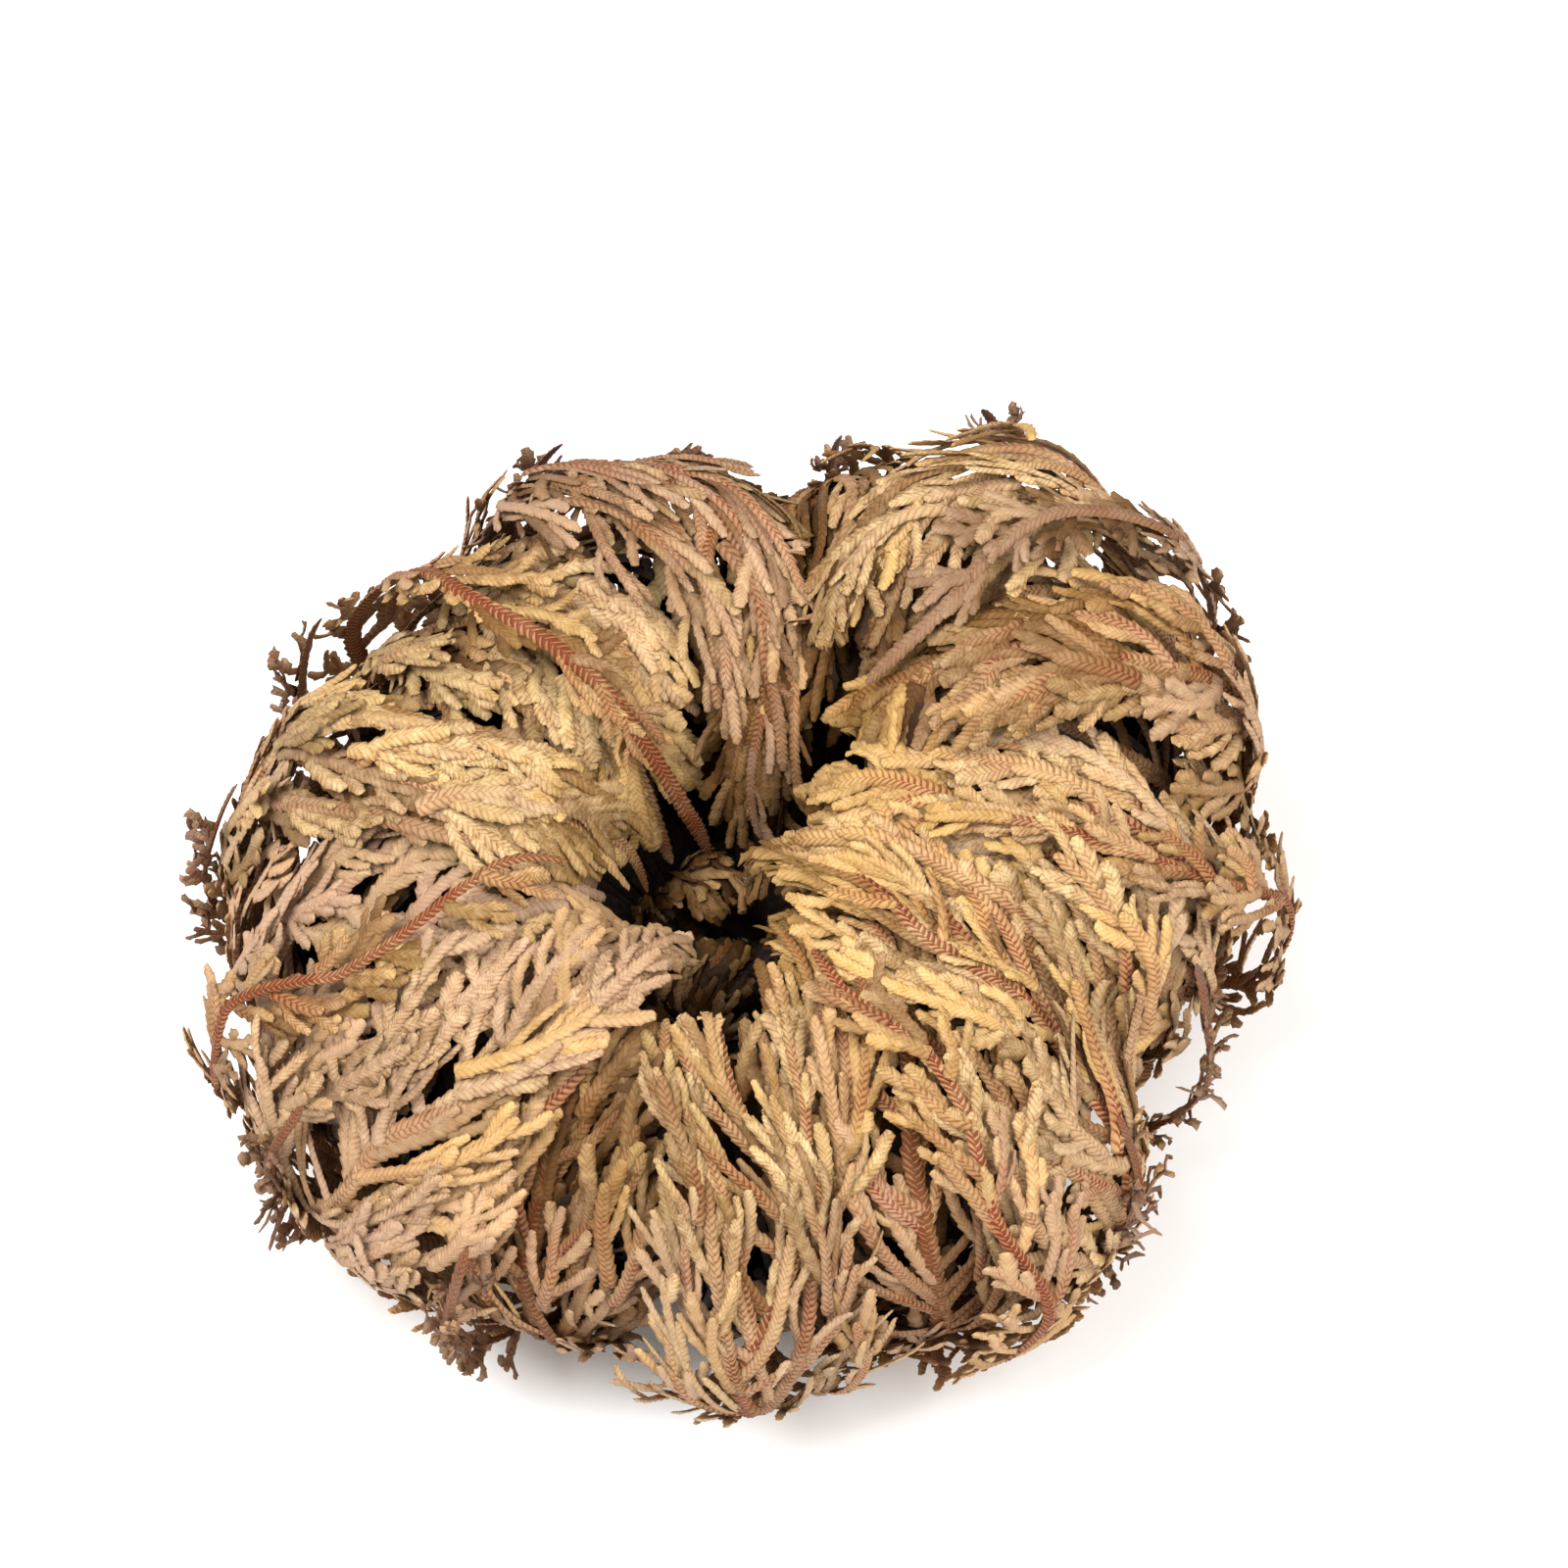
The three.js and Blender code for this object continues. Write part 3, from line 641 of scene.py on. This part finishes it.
    def rings_along(self, strands, chosen, profile):
        """Rings for the chosen strands, coloured by what they are and by where in the ball they lie, with
        painted light and shade for how lit that place is.
        """
        of = np.flatnonzero(chosen)
        rings = rings_for(strands.length[of], profile)
        of = of[rings.strand]
        p = rings.share
        rings.way, rings.angle, rings.lift, rings.heading = strands.at(of, p)
        set_in = smooth(0, strands.set_in, p)
        rings.roll = strands.roll[of] * set_in
        rings.half = strands.half[of] * mix(strands.root_width, 1, set_in) * mix(1, strands.taper, p)
        rings.half = rings.half * blunt(p, strands.length[of], self.ring.finger)
        rings.red = strands.red[of] * mix(1, strands.tip_red, p)
        outer_side, ripe = 1 - smooth(*WEATHERED, rings.way), smooth(*RIPE, rings.way)
        rings.grey = np.clip(strands.grey[of] + outer_side * WORN_GREY + ripe * self.plan.tip_grey, 0, 1)
        # painted shade at the bottom of the hollow; the old low leaves are darker too
        shade = (1 - smooth(*OLD, rings.way)) * OLD_SHADE + smooth(*SUNK, rings.way) * SUNK_SHADE
        # painted light and shade: darker at strand roots and below the sheet, lighter at tips and above it
        light = mix(*strands.shading, p) + shade_by_lift(rings.lift)
        light = light + outer_side * PALER_OUTSIDE + ripe * self.plan.tip_light
        rings.light = strands.light[of] + light - shade
        gold = strands.gold[of] + smooth(*SHELTERED, rings.way) * SHELTERED_GOLD
        rings.gold = np.clip(gold, -1, MOST_GOLD)
        return rings

    def rings(self):
        """Its broad rings (stem and braided branches) and its fine ones (plain branches and fingers)."""
        stem = self.stem()
        branches = self.branches()
        fingers = self.fingers(branches)
        braided = branches.red > BRAIDED
        broad = [stem, self.rings_along(branches, braided, BROAD)]
        plain = self.rings_along(branches, ~braided, FINE)
        every = np.ones(len(fingers.length), bool)
        return joined(broad), joined([plain, self.rings_along(fingers, every, FINE)])


# ---- From rings to a mesh ----
def ring_ends(strand):
    """For each ring, the first and the last ring of its strand."""
    starts = np.flatnonzero(np.append(True, np.diff(strand) != 0))
    stops = np.append(starts[1:], len(strand)) - 1
    return starts[strand], stops[strand]


def corners_round(sheet, rings, profile):
    """The corners round every ring: across the strand along its side, up along its upper face."""
    place = sheet.place(rings.way, rings.angle)
    along, across = sheet.slopes(rings.way, rings.angle)
    normal = unit(np.cross(across, along))
    centre = place + normal * (rings.lift + sheet.waviness(rings.way, rings.angle))[:, None]
    first, last = ring_ends(rings.strand)
    index = np.arange(len(first))
    tangent = unit(centre[np.minimum(index + 1, last)] - centre[np.maximum(index - 1, first)])
    level = unit(along) * np.cos(rings.heading)[:, None] + unit(across) * np.sin(rings.heading)[:, None]
    side = np.cross(level, normal)
    side = unit(side - tangent * (side * tangent).sum(axis=-1, keepdims=True))
    upper = np.cross(side, tangent)
    cosine, sine = np.cos(rings.roll)[:, None], np.sin(rings.roll)[:, None]
    side, upper = side * cosine + upper * sine, upper * cosine - side * sine

    at_tip = (rings.scale % 1 > 0)[:, None]
    width = rings.half[:, None] * np.where(at_tip, WIDE, NARROW) * profile.side
    bulk = np.minimum(1.2, rings.half / 0.8)[:, None]
    height = np.where(at_tip, profile.high, profile.low) * bulk
    to_end = np.minimum(rings.scale, rings.scale[last] - rings.scale)
    ahead = profile.ahead * profile.scale_length * np.clip(to_end, 0, 1)[:, None]
    return (
        centre[:, None]
        + tangent[:, None] * ahead[..., None]
        + side[:, None] * width[..., None]
        + upper[:, None] * height[..., None]
    )


class Ribbons:
    """The closed ribbons of many strands that share a profile, ready to be put in a mesh."""

    def __init__(self, sheet, rings, profile):
        self.rings = rings
        self.profile = profile
        columns = profile.columns
        self.points = corners_round(sheet, rings, profile).reshape(-1, 3)
        first, last = ring_ends(rings.strand)
        index = np.arange(len(first))
        self.rows = index[index < last]
        column = np.arange(columns)
        here = self.rows[:, None] * columns + column
        beside = self.rows[:, None] * columns + (column + 1) % columns
        self.quads = np.stack([here, beside, beside + columns, here + columns], axis=-1).reshape(-1, 4)
        roots, tips = np.unique(first)[:, None], np.unique(last)[:, None]
        self.caps = np.concatenate([roots * columns + column[::-1], tips * columns + column])
        self.start = rings.scale[self.rows] * profile.scale_length
        self.after = rings.scale[self.rows + 1] * profile.scale_length
        # the Scales attribute carries the light mark: tone that varies at random, and painted light and
        # shade
        scales = rings.scale[:, None] * profile.count, profile.across, rings.light[:, None]
        hue = rings.red[:, None], rings.grey[:, None], rings.gold[:, None]
        shape = (len(index), columns)
        self.marks = {
            name: np.stack([np.broadcast_to(values, shape) for values in three], axis=-1)
            for name, three in (("Scales", scales), ("Hue", hue))
        }

    def strips(self):
        """Cuts the strands into strips for the map: each row's strip, and their lengths and widths."""
        key = self.rings.strand[self.rows] * 64 + (self.start // STRIP_LENGTH).astype(int)
        _, strip = np.unique(key, return_inverse=True)
        count = strip.max() + 1
        low, high, wide = np.full(count, np.inf), np.zeros(count), np.zeros(count)
        np.minimum.at(low, strip, self.start)
        np.maximum.at(high, strip, self.after)
        np.maximum.at(wide, strip, self.rings.half[self.rows])
        return strip, low, high - low, wide

    def unrolled(self, strip, low, wide, spots):
        """The corners of each quad in the map."""
        columns = self.profile.columns
        u0 = np.repeat((self.start - low[strip] + spots[strip, 0])[:, None], columns, axis=1)
        u1 = np.repeat((self.after - low[strip] + spots[strip, 0])[:, None], columns, axis=1)
        v = wide[strip][:, None] * self.profile.unrolled + spots[strip, 1][:, None]
        v0, v1 = v[:, :-1], v[:, 1:]
        corners = [np.stack(pair, -1) for pair in ((u0, v0), (u0, v1), (u1, v1), (u1, v0))]
        return np.stack(corners, axis=2).reshape(-1, 2)


STRIP_LENGTH = 30.0
MAP_MARGIN = 0.16
SHARP_ANGLE = 80


def packed(lengths, widths, room):
    """Places for strips in rows that fill a square, the widest first, and the square's side."""
    lengths, widths = lengths + MAP_MARGIN, widths + MAP_MARGIN
    side = math.sqrt((lengths * widths).sum() + room) * 1.02
    order = np.argsort(-widths)
    while True:
        x, y, spots = 0.0, 2 * MAP_MARGIN, np.zeros((len(lengths), 2))
        row_height = widths[order[0]]
        for i in order:
            if x + lengths[i] > side:
                x, y = 0.0, y + row_height
                row_height = widths[i]
            spots[i] = x, y
            x += lengths[i]
        if y + row_height <= side:
            return spots, side
        side *= 1.01


def bake_map(ribbons):
    """Unrolls every strand into one square. The end faces share a short strip along its bottom."""
    strips = [part.strips() for part in ribbons]
    caps = sum(len(part.caps) for part in ribbons)
    lengths = np.concatenate([found[2] for found in strips])
    spans = [found[3] * part.profile.unrolled[-1] for part, found in zip(ribbons, strips)]
    spots, side = packed(lengths, np.concatenate(spans), 1.2 * caps * MAP_MARGIN)
    sides, ends, before, caps_before = [], [], 0, 0
    for part, (strip, low, _, wide) in zip(ribbons, strips):
        sides.append(part.unrolled(strip, low, wide, spots[before:]))
        before += len(low)
        columns = part.profile.columns
        turn = np.arange(columns) * 2 * math.pi / columns
        corners = np.stack([np.cos(turn), np.sin(turn)], -1) * MAP_MARGIN * 0.5
        number = (np.arange(len(part.caps)) + caps_before + 0.5) / caps
        middle = np.stack([mix(0.01, 0.99, number) * side, np.full(len(number), MAP_MARGIN)], -1)
        ends.append((middle[:, None] + corners).reshape(-1, 2))
        caps_before += len(part.caps)
    return np.concatenate(sides + ends) / side


def mesh_of(name, points, faces):
    """A mesh of points in millimetres and of faces as lists of corners."""
    mesh = bpy.data.meshes.new(name)
    mesh.from_pydata((points * MM).tolist(), [], faces)
    mesh.update()
    return mesh


def ribbon_mesh(name, ribbons):
    """One mesh of all the ribbons: every side face first, then every end face."""
    offsets = np.cumsum([0] + [len(part.points) for part in ribbons])
    faces = [(part.quads + offset).tolist() for part, offset in zip(ribbons, offsets)]
    faces += [(part.caps + offset).tolist() for part, offset in zip(ribbons, offsets)]
    mesh = mesh_of(name, np.concatenate([part.points for part in ribbons]), sum(faces, []))
    for mark in ribbons[0].marks:
        values = np.concatenate([part.marks[mark].ravel() for part in ribbons]).astype(np.float32)
        mesh.attributes.new(mark, "FLOAT_VECTOR", "POINT").data.foreach_set("vector", values)
    layer = mesh.uv_layers.new(name="OFBake")
    layer.uv.foreach_set("vector", bake_map(ribbons).astype(np.float32).ravel())
    mesh.set_sharp_from_angle(angle=math.radians(SHARP_ANGLE))
    return mesh


def frond_mesh(name, ring, plan, draw):
    """A frond's stem and braided branches with the broad profile, and the rest with the fine one."""
    sheet = Sheet(ring, plan, draw)
    broad, fine = Frond(sheet, plan, draw).rings()
    return ribbon_mesh(name, [Ribbons(sheet, broad, BROAD), Ribbons(sheet, fine, FINE)])


def put(data):
    """Puts a mesh, lamp or camera in the scene, under its own name."""
    made = bpy.data.objects.new(data.name, data)
    bpy.context.scene.collection.objects.link(made)
    return made


def add_piece(mesh, material, node):
    """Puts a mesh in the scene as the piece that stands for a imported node."""
    mesh.materials.append(material)
    piece = put(mesh)
    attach(piece, "root")
    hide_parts(node)


# ---- Materials ----
def srgb(red, green, blue):
    """A colour given as 0 to 255 on screen, as the linear numbers that a shader takes."""
    values = np.array([red, green, blue]) / 255
    linear = np.where(values <= 0.04045, values / 12.92, ((values + 0.055) / 1.055) ** 2.4)
    return (*linear.tolist(), 1.0)


def maths(operation, swapped=False):
    """A method that makes a maths node of a value and what it is given."""

    def method(self, *others):
        values = (*others, self) if swapped else (self, *others)
        return self.maker.node("ShaderNodeMath", {"operation": operation}, *values)

    return method


class Value:
    """A number that varies over a surface: the output of a shader node, with Python's operators."""

    def __init__(self, maker, socket):
        self.maker = maker
        self.socket = socket

    __add__ = __radd__ = maths("ADD")
    __sub__ = maths("SUBTRACT")
    __rsub__ = maths("SUBTRACT", swapped=True)
    __mul__ = __rmul__ = maths("MULTIPLY")
    fraction = maths("FRACT")
    size = maths("ABSOLUTE")
    below = maths("LESS_THAN")  # 1 where it is below the other and 0 elsewhere

    def limited(self):
        """The same, kept between 0 and 1."""
        return self.maker.node("ShaderNodeClamp", {}, self)

    def ramp(self, start, stop):
        """0 up to start, 1 from stop on, eased between."""
        settings = {"interpolation_type": "SMOOTHSTEP"}
        return self.maker.node("ShaderNodeMapRange", settings, self, start, stop)


class Finish:
    """A material in the making."""

    def __init__(self, name):
        self.material = bpy.data.materials.new(name)
        self.material.use_nodes = True
        self.tree = self.material.node_tree
        self.tree.nodes.clear()

    def node(self, kind, settings, *values, output=0, **named):
        """Makes a node, sets it up, fills its sockets in order or by name, and gives one output."""
        made = self.tree.nodes.new(kind)
        for name, value in settings.items():
            setattr(made, name, value)
        sockets = list(zip([s for s in made.inputs if s.enabled], values))
        sockets += [(made.inputs[name.replace("_", " ")], value) for name, value in named.items()]
        for socket, value in sockets:
            if isinstance(value, Value):
                self.tree.links.new(value.socket, socket)
            elif value is not None:
                socket.default_value = value
        return Value(self, made.outputs[output]) if made.outputs else None

    def marks(self, name):
        """The three numbers of a mesh attribute."""
        vector = self.node("ShaderNodeAttribute", {"attribute_name": name}, output="Vector")
        parts = self.tree.nodes.new("ShaderNodeSeparateXYZ")
        self.tree.links.new(vector.socket, parts.inputs[0])
        return [Value(self, output) for output in parts.outputs]

    def blended(self, a, b, share):
        """From colour a to colour b."""
        settings = {"data_type": "RGBA", "clamp_factor": True}
        return self.node("ShaderNodeMix", settings, share, a, b, output=2)

    def noise(self, size, detail=3.0, stretch=(1, 1, 1)):
        """Soft noise from 0 to 1 whose lumps are about this many millimetres across."""
        place = self.node("ShaderNodeTexCoord", {}, output="Object")
        scale = tuple(s / (size * MM) for s in stretch)
        mapped = self.node("ShaderNodeMapping", {}, Vector=place, Scale=scale)
        return self.node("ShaderNodeTexNoise", {}, Vector=mapped, Scale=1.0, Detail=detail)

    def height(self):
        """How far up the ball a point is, in metres."""
        place = self.node("ShaderNodeTexCoord", {}, output="Object")
        return self.node("ShaderNodeSeparateXYZ", {}, place, output="Z")

    def done(self, colour, roughness, bump, depth, shine=0.5):
        """Joins it all in one shader and gives the material."""
        normal = self.node("ShaderNodeBump", {}, Height=bump, Distance=depth * MM, Strength=1.0)
        shader = self.node(
            "ShaderNodeBsdfPrincipled", {}, Base_Color=colour, Roughness=roughness, Normal=normal,
            Specular_IOR_Level=shine,
        )
        self.node("ShaderNodeOutputMaterial", {}, shader)
        return self.material


# The colours of a scale, from its root (darker, partly as painted shade) to its tip, those that stain it,
# and the browns of painted shade.
SCALY_COLOURS = {
    "straw": (srgb(122, 76, 18), srgb(208, 181, 136)),
    "russet": (srgb(114, 68, 18), srgb(200, 166, 119)),
    "mauve": (srgb(106, 66, 26), srgb(200, 168, 130)),
    "dead": (srgb(42, 29, 21), srgb(104, 80, 60)),
}
RED_BROWN = srgb(108, 34, 16)
RUST = srgb(140, 84, 44)
MAUVE_GREY = srgb(168, 137, 118)
# painted shade for the gaps along strand edges
EDGE_SHADE = srgb(92, 48, 12)
# painted shade where the light mark is low, and the leaves' own dark mottling
MOTTLE_AND_SHADE_BROWN = srgb(98, 60, 10)
# painted deep shade, nearly black, for the hollow and the deepest layers
DEEP_SHADE_BROWN = srgb(46, 30, 18)
GOLD = srgb(204, 162, 88)
OLIVE = srgb(160, 136, 74)


def scaly(tone):
    """Dry scale leaves: dark at the root, partly as painted shade under the scale before, pale at the tip,
    red-brown along the middle. Painted shade darkens their edges, and their light mark paints
    light and shade over them.

    The share of the way along a scale is the fraction of the scale count. The red-brown stands on
    the inner half of a scale near its root.
    """
    finish = Finish("scaly " + tone)
    count, signed, light = finish.marks("Scales")
    red, grey, gold = finish.marks("Hue")
    across = signed.size()
    along = (count - across * 0.55 + signed.below(0) * 0.5).fraction()
    scale_tip = along.ramp(0.1, 0.6)
    mottle, blotch, grain = finish.noise(2.2), finish.noise(1.0, 2.0), finish.noise(0.25, 2.0)
    patches = finish.noise(5.0, 1.0).ramp(0.4, 0.6)
    strong = (red - 0.8).limited() * 0.6
    tick = (1 - (along + across * 0.3 - strong).ramp(0.35, 0.65)) * (1 - (across - strong).ramp(0.5, 0.95))
    stain = red.ramp(0.25, 0.95) * tick * (patches * 0.5 + 0.5 + strong).limited()
    dark, pale = SCALY_COLOURS[tone]
    # dark scale roots, partly their own colour and partly painted shade under the scale before
    colour = finish.blended(dark, pale, scale_tip * 0.3 + grain * 0.35 + blotch * 1.3 - 0.46)
    for tint, share in (
        (GOLD, gold.ramp(0.1, 1.2) * 0.45),
        (OLIVE, (0 - gold).ramp(0.1, 1.2) * 0.45),
        (MAUVE_GREY, grey * (0.35 + mottle * 0.5)),
        (RUST, red.ramp(0.15, 0.85) * (blotch.ramp(0.4, 0.6) * 0.3 + patches * 0.35)),
        (RED_BROWN, stain * 0.9),
        # painted shade along each strand's edges, for the dark gaps between strands
        (EDGE_SHADE, across.ramp(0.5, 1.0) * (0.66 - scale_tip * 0.35)),
        # painted shade where the light mark is low, and the leaves' own dark mottling
        (MOTTLE_AND_SHADE_BROWN, (0.5 - light * 0.4 - mottle * 0.4 - blotch * 0.4).limited()),
        # painted deep shade, nearly black, for the hollow and the deepest layers
        (DEEP_SHADE_BROWN, (0 - light).ramp(1.2, 3.2)),
    ):
        colour = finish.blended(colour, tint, share)
    # painted light and shade: the colour is scaled by the light mark
    settings = {"operation": "SCALE"}
    lit = finish.node("ShaderNodeVectorMath", settings, Vector=colour, Scale=light * 0.1 + 0.95)
    roughness = 0.78 - along * 0.2
    return finish.done(lit, roughness, along * 0.3 + grain * 0.25, 0.18, shine=0.2)


def bark():
    """Rootstock and roots: dark fibrous bark, paler on its ridges, and painted nearly black with shade
    from 2 mm up, where it lies inside the ball.
    """
    finish = Finish("bark")
    fibre = finish.noise(0.9, 4.0, stretch=(1, 1, 0.3))
    mottle = finish.noise(4.0)
    colour = finish.blended(srgb(58, 38, 26), srgb(142, 104, 72), fibre.ramp(0.35, 0.75))
    colour = finish.blended(colour, srgb(96, 58, 40), mottle.ramp(0.5, 0.7) * 0.6)
    # painted shade: darker from 2 mm up, where the old stems lie inside the ball's hollow
    colour = finish.blended(colour, srgb(32, 20, 12), finish.height().ramp(2 * MM, 7 * MM) * 0.85)
    return finish.done(colour, 0.9 - fibre * 0.2, fibre, 0.4)


# ---- Rootstock and roots ----
def surface_parts(grid, poles):
    """The points and faces of a grid that wraps round its second axis, closed by a pole at each end."""
    rows, columns = grid.shape[:2]
    points = np.concatenate([grid.reshape(-1, 3), poles])
    bottom, top = len(points) - 2, len(points) - 1
    steps = [(i, (i + 1) % columns) for i in range(columns)]
    last = (rows - 1) * columns
    faces = [
        [row + here, row + beside, row + columns + beside, row + columns + here]
        for row in range(0, last, columns) for here, beside in steps
    ]
    faces += [[here, bottom, beside] for here, beside in steps]
    faces += [[last + here, last + beside, top] for here, beside in steps]
    return points, faces


ROOTSTOCK_HEIGHTS = (0, 0, 0.4, 1.2, 2, 4, 6, 8, 10, 12, 14.2, 15.4)
ROOTSTOCK_TOP, ROOTSTOCK_TOP_RADIUS = 15.7, 2.4
KNOBS = ((7, 0.7), (12, -1.1), (19, 1.9), (31, 2.6))  # waves round it, and how fast they turn with height
KNOB_HEIGHT = 0.12
ROOTLETS = 70
BASAL_STEMS = 600


def rootstock_parts(draw):
    """The stubby cone that carries every frond's foot, knobbly above its flat underside."""
    (low_r, low_z), (high_r, high_z) = OUTER_CURL[0], CORE_CURL[0]
    slope = (high_r - low_r) / (high_z - low_z)
    profile_z = np.array(ROOTSTOCK_HEIGHTS)
    profile_r = low_r + slope * (profile_z - low_z) - SEAT_GAP
    profile_r[:3] = ROOTSTOCK_FLAT_RADIUS * 0.5, ROOTSTOCK_FLAT_RADIUS, ROOTSTOCK_FLAT_RADIUS + 0.15
    profile_r[-1] = ROOTSTOCK_TOP_RADIUS
    fine = np.linspace(0, len(profile_z) - 1, 45)
    z = np.interp(fine, np.arange(len(profile_z)), profile_z)
    r = np.interp(fine, np.arange(len(profile_z)), profile_r)
    turn = np.linspace(0, 2 * math.pi, 80, endpoint=False)
    knobs = sum(
        np.sin(turn[None] * waves + z[:, None] * pitch + start)
        for (waves, pitch), start in zip(KNOBS, draw.uniform(0, 6, len(KNOBS)))
    )
    r = r[:, None] + KNOB_HEIGHT * knobs * smooth(0.1, 1.5, z)[:, None]
    poles = settle(np.zeros(2), np.zeros(2), np.array([0, ROOTSTOCK_TOP]))
    return surface_parts(settle(r, turn, z[:, None]), poles)


def tube_parts(line, half, sides=7):
    """A tapering tube along a line of points, closed at both ends."""
    tangent = unit(np.gradient(line, axis=0))
    side = unit(np.cross(tangent, [0, 0, 1.0]))
    up = np.cross(side, tangent)
    turn = np.linspace(0, 2 * math.pi, sides, endpoint=False)
    across = side[:, None] * np.cos(turn)[:, None] + up[:, None] * np.sin(turn)[:, None]
    return surface_parts(line[:, None] + half[:, None, None] * across, line[[0, -1]])


def root_lines(draw):
    """Cut root stubs along the ground, and thin rootlets that wander out between the stems."""
    lines = []
    for degrees, reach in ROOT_STUBS:
        share = np.linspace(0, 1, 24)
        radius = mix(ROOTSTOCK_FLAT_RADIUS / 2, reach, share)
        swerve = np.radians(degrees) + 0.05 * np.sin(share * 5 + degrees) * share
        thick, thin = ROOT_HALF_THICKNESS
        half = mix(thick, thin, share) * (1 + 0.08 * np.sin(share * 40 + degrees))
        height = mix(thick + 0.1, thin + 0.12, share)
        lines.append((settle(radius, swerve, height), half))
    for _ in range(ROOTLETS):
        share = np.linspace(0, 1, 16)
        azimuth, reach = draw.uniform(0, 2 * math.pi), draw.uniform(10, 26)
        bend = draw.uniform(-0.5, 0.5)
        radius = mix(7.0, reach, share)
        swerve = azimuth + bend * share**2 + 0.1 * np.sin(share * draw.uniform(6, 12))
        height = mix(draw.uniform(0.6, 3.0), draw.uniform(0.4, 3.2), share) + 0.4 * np.sin(share * 9) ** 2
        half = mix(0.22, 0.07, share)
        lines.append((settle(radius, swerve, height), half))
    return lines


def basal_lines(draw):
    """Old bare stems that fill the bottom of the bowl round the rootstock."""
    lines = []
    for _ in range(BASAL_STEMS):
        share = np.linspace(0, 1, 7)
        way = mix(0.2, draw.uniform(3.0, 6.2), share)
        bend, curve = draw.uniform(-0.35, 0.35), draw.uniform(-0.08, 0.08)
        azimuth = draw.uniform(0, 2 * math.pi) + bend * share + curve * np.sin(share * 6)
        depth = mix(0.85, draw.uniform(0.35, 1.0), share)
        half = mix(0.8, 0.5, share) * draw.uniform(0.8, 1.15)
        lines.append((place_in(BALL, way, azimuth, depth), half))
    return lines


def rootstock_mesh(draw):
    """The rootstock with its roots and the old stems on it, as one mesh."""
    parts = [rootstock_parts(draw)]
    parts += [tube_parts(line, half, sides=5) for line, half in basal_lines(draw)]
    parts += [tube_parts(line, half) for line, half in root_lines(draw)]
    points, faces = [], []
    for places, polygons in parts:
        offset = sum(len(p) for p in points)
        points.append(places)
        faces += [[corner + offset for corner in polygon] for polygon in polygons]
    points = np.concatenate(points)
    points[:, 2] = np.maximum(points[:, 2], 0)
    return mesh_of("rootstock_and_roots", points, faces)


# ---- The ball ----
draw = np.random.default_rng(7)
materials = {tone: scaly(tone) for tone in SCALY_COLOURS}
add_piece(rootstock_mesh(draw), bark(), "rootstock")
for ring_name, ring in RINGS.items():
    for number, plan in enumerate(ring.fronds, start=1):
        node = f"{ring_name}_{number}"
        add_piece(frond_mesh(node + "_scaly", ring, plan, draw), materials[plan.tone], node)

# ---- Studio ----
FLOOR_HALF = 1500
LIGHTS = (("key", (-0.32, -0.14, 0.8), 0.4, 8.5), ("fill", (0.45, -0.25, 0.7), 0.6, 6.4))
LIT_POINT = (0, 0, 0.03)
SKY_COLOUR, SKY_STRENGTH = (1, 0.955, 0.86, 1), 0.56
CAMERA_ELEVATION = 60
CAMERA_DISTANCE = 500
SEEN_WIDTH = 138  # at that distance
BALL_MIDDLE = (0, 0, 25)
AIM_RIGHT, AIM_UP = 3.5, 12.1  # of the ball's middle
SENSOR_WIDTH = 36


def add_floor():
    """A plain pale floor under the ball."""
    finish = Finish("floor")
    grain = finish.noise(40.0)
    colour = finish.blended(srgb(244, 244, 246), srgb(250, 250, 251), grain)
    material = finish.done(colour, 0.6, grain, 0.01)
    corners = np.array([(-1, -1, 0), (1, -1, 0), (1, 1, 0), (-1, 1, 0)])
    mesh = mesh_of("floor", corners * FLOOR_HALF, [(0, 1, 2, 3)])
    mesh.materials.append(material)
    put(mesh)


def add_light(name, place, size, power):
    """A square soft light that faces the ball."""
    lamp = bpy.data.lights.new(name, "AREA")
    lamp.shape = "SQUARE"
    lamp.size = size
    lamp.energy = power
    light = put(lamp)
    light.location = place
    light.rotation_euler = (Vector(LIT_POINT) - Vector(place)).to_track_quat("-Z", "Y").to_euler()


def add_sky():
    """Even, slightly warm light from all round."""
    world = bpy.data.worlds.new("studio")
    world.use_nodes = True
    background = world.node_tree.nodes["Background"]
    background.inputs["Color"].default_value = SKY_COLOUR
    background.inputs["Strength"].default_value = SKY_STRENGTH
    bpy.context.scene.world = world
    bpy.context.scene.view_settings.view_transform = "Standard"


def add_camera():
    """Looks down on the ball, which stands a little low and left in its view."""
    elevation = math.radians(CAMERA_ELEVATION)
    back = Vector((0, -math.cos(elevation), math.sin(elevation)))
    up = Vector((0, math.sin(elevation), math.cos(elevation)))
    target = Vector(BALL_MIDDLE) + Vector((AIM_RIGHT, 0, 0)) + up * AIM_UP
    camera = put(bpy.data.cameras.new("camera"))
    camera.location = (target + back * CAMERA_DISTANCE) * MM
    camera.rotation_euler = back.to_track_quat("Z", "Y").to_euler()
    camera.data.sensor_width = SENSOR_WIDTH
    camera.data.lens = SENSOR_WIDTH * CAMERA_DISTANCE / SEEN_WIDTH
    bpy.context.scene.camera = camera


add_floor()
for light in LIGHTS:
    add_light(*light)
add_sky()
add_camera()
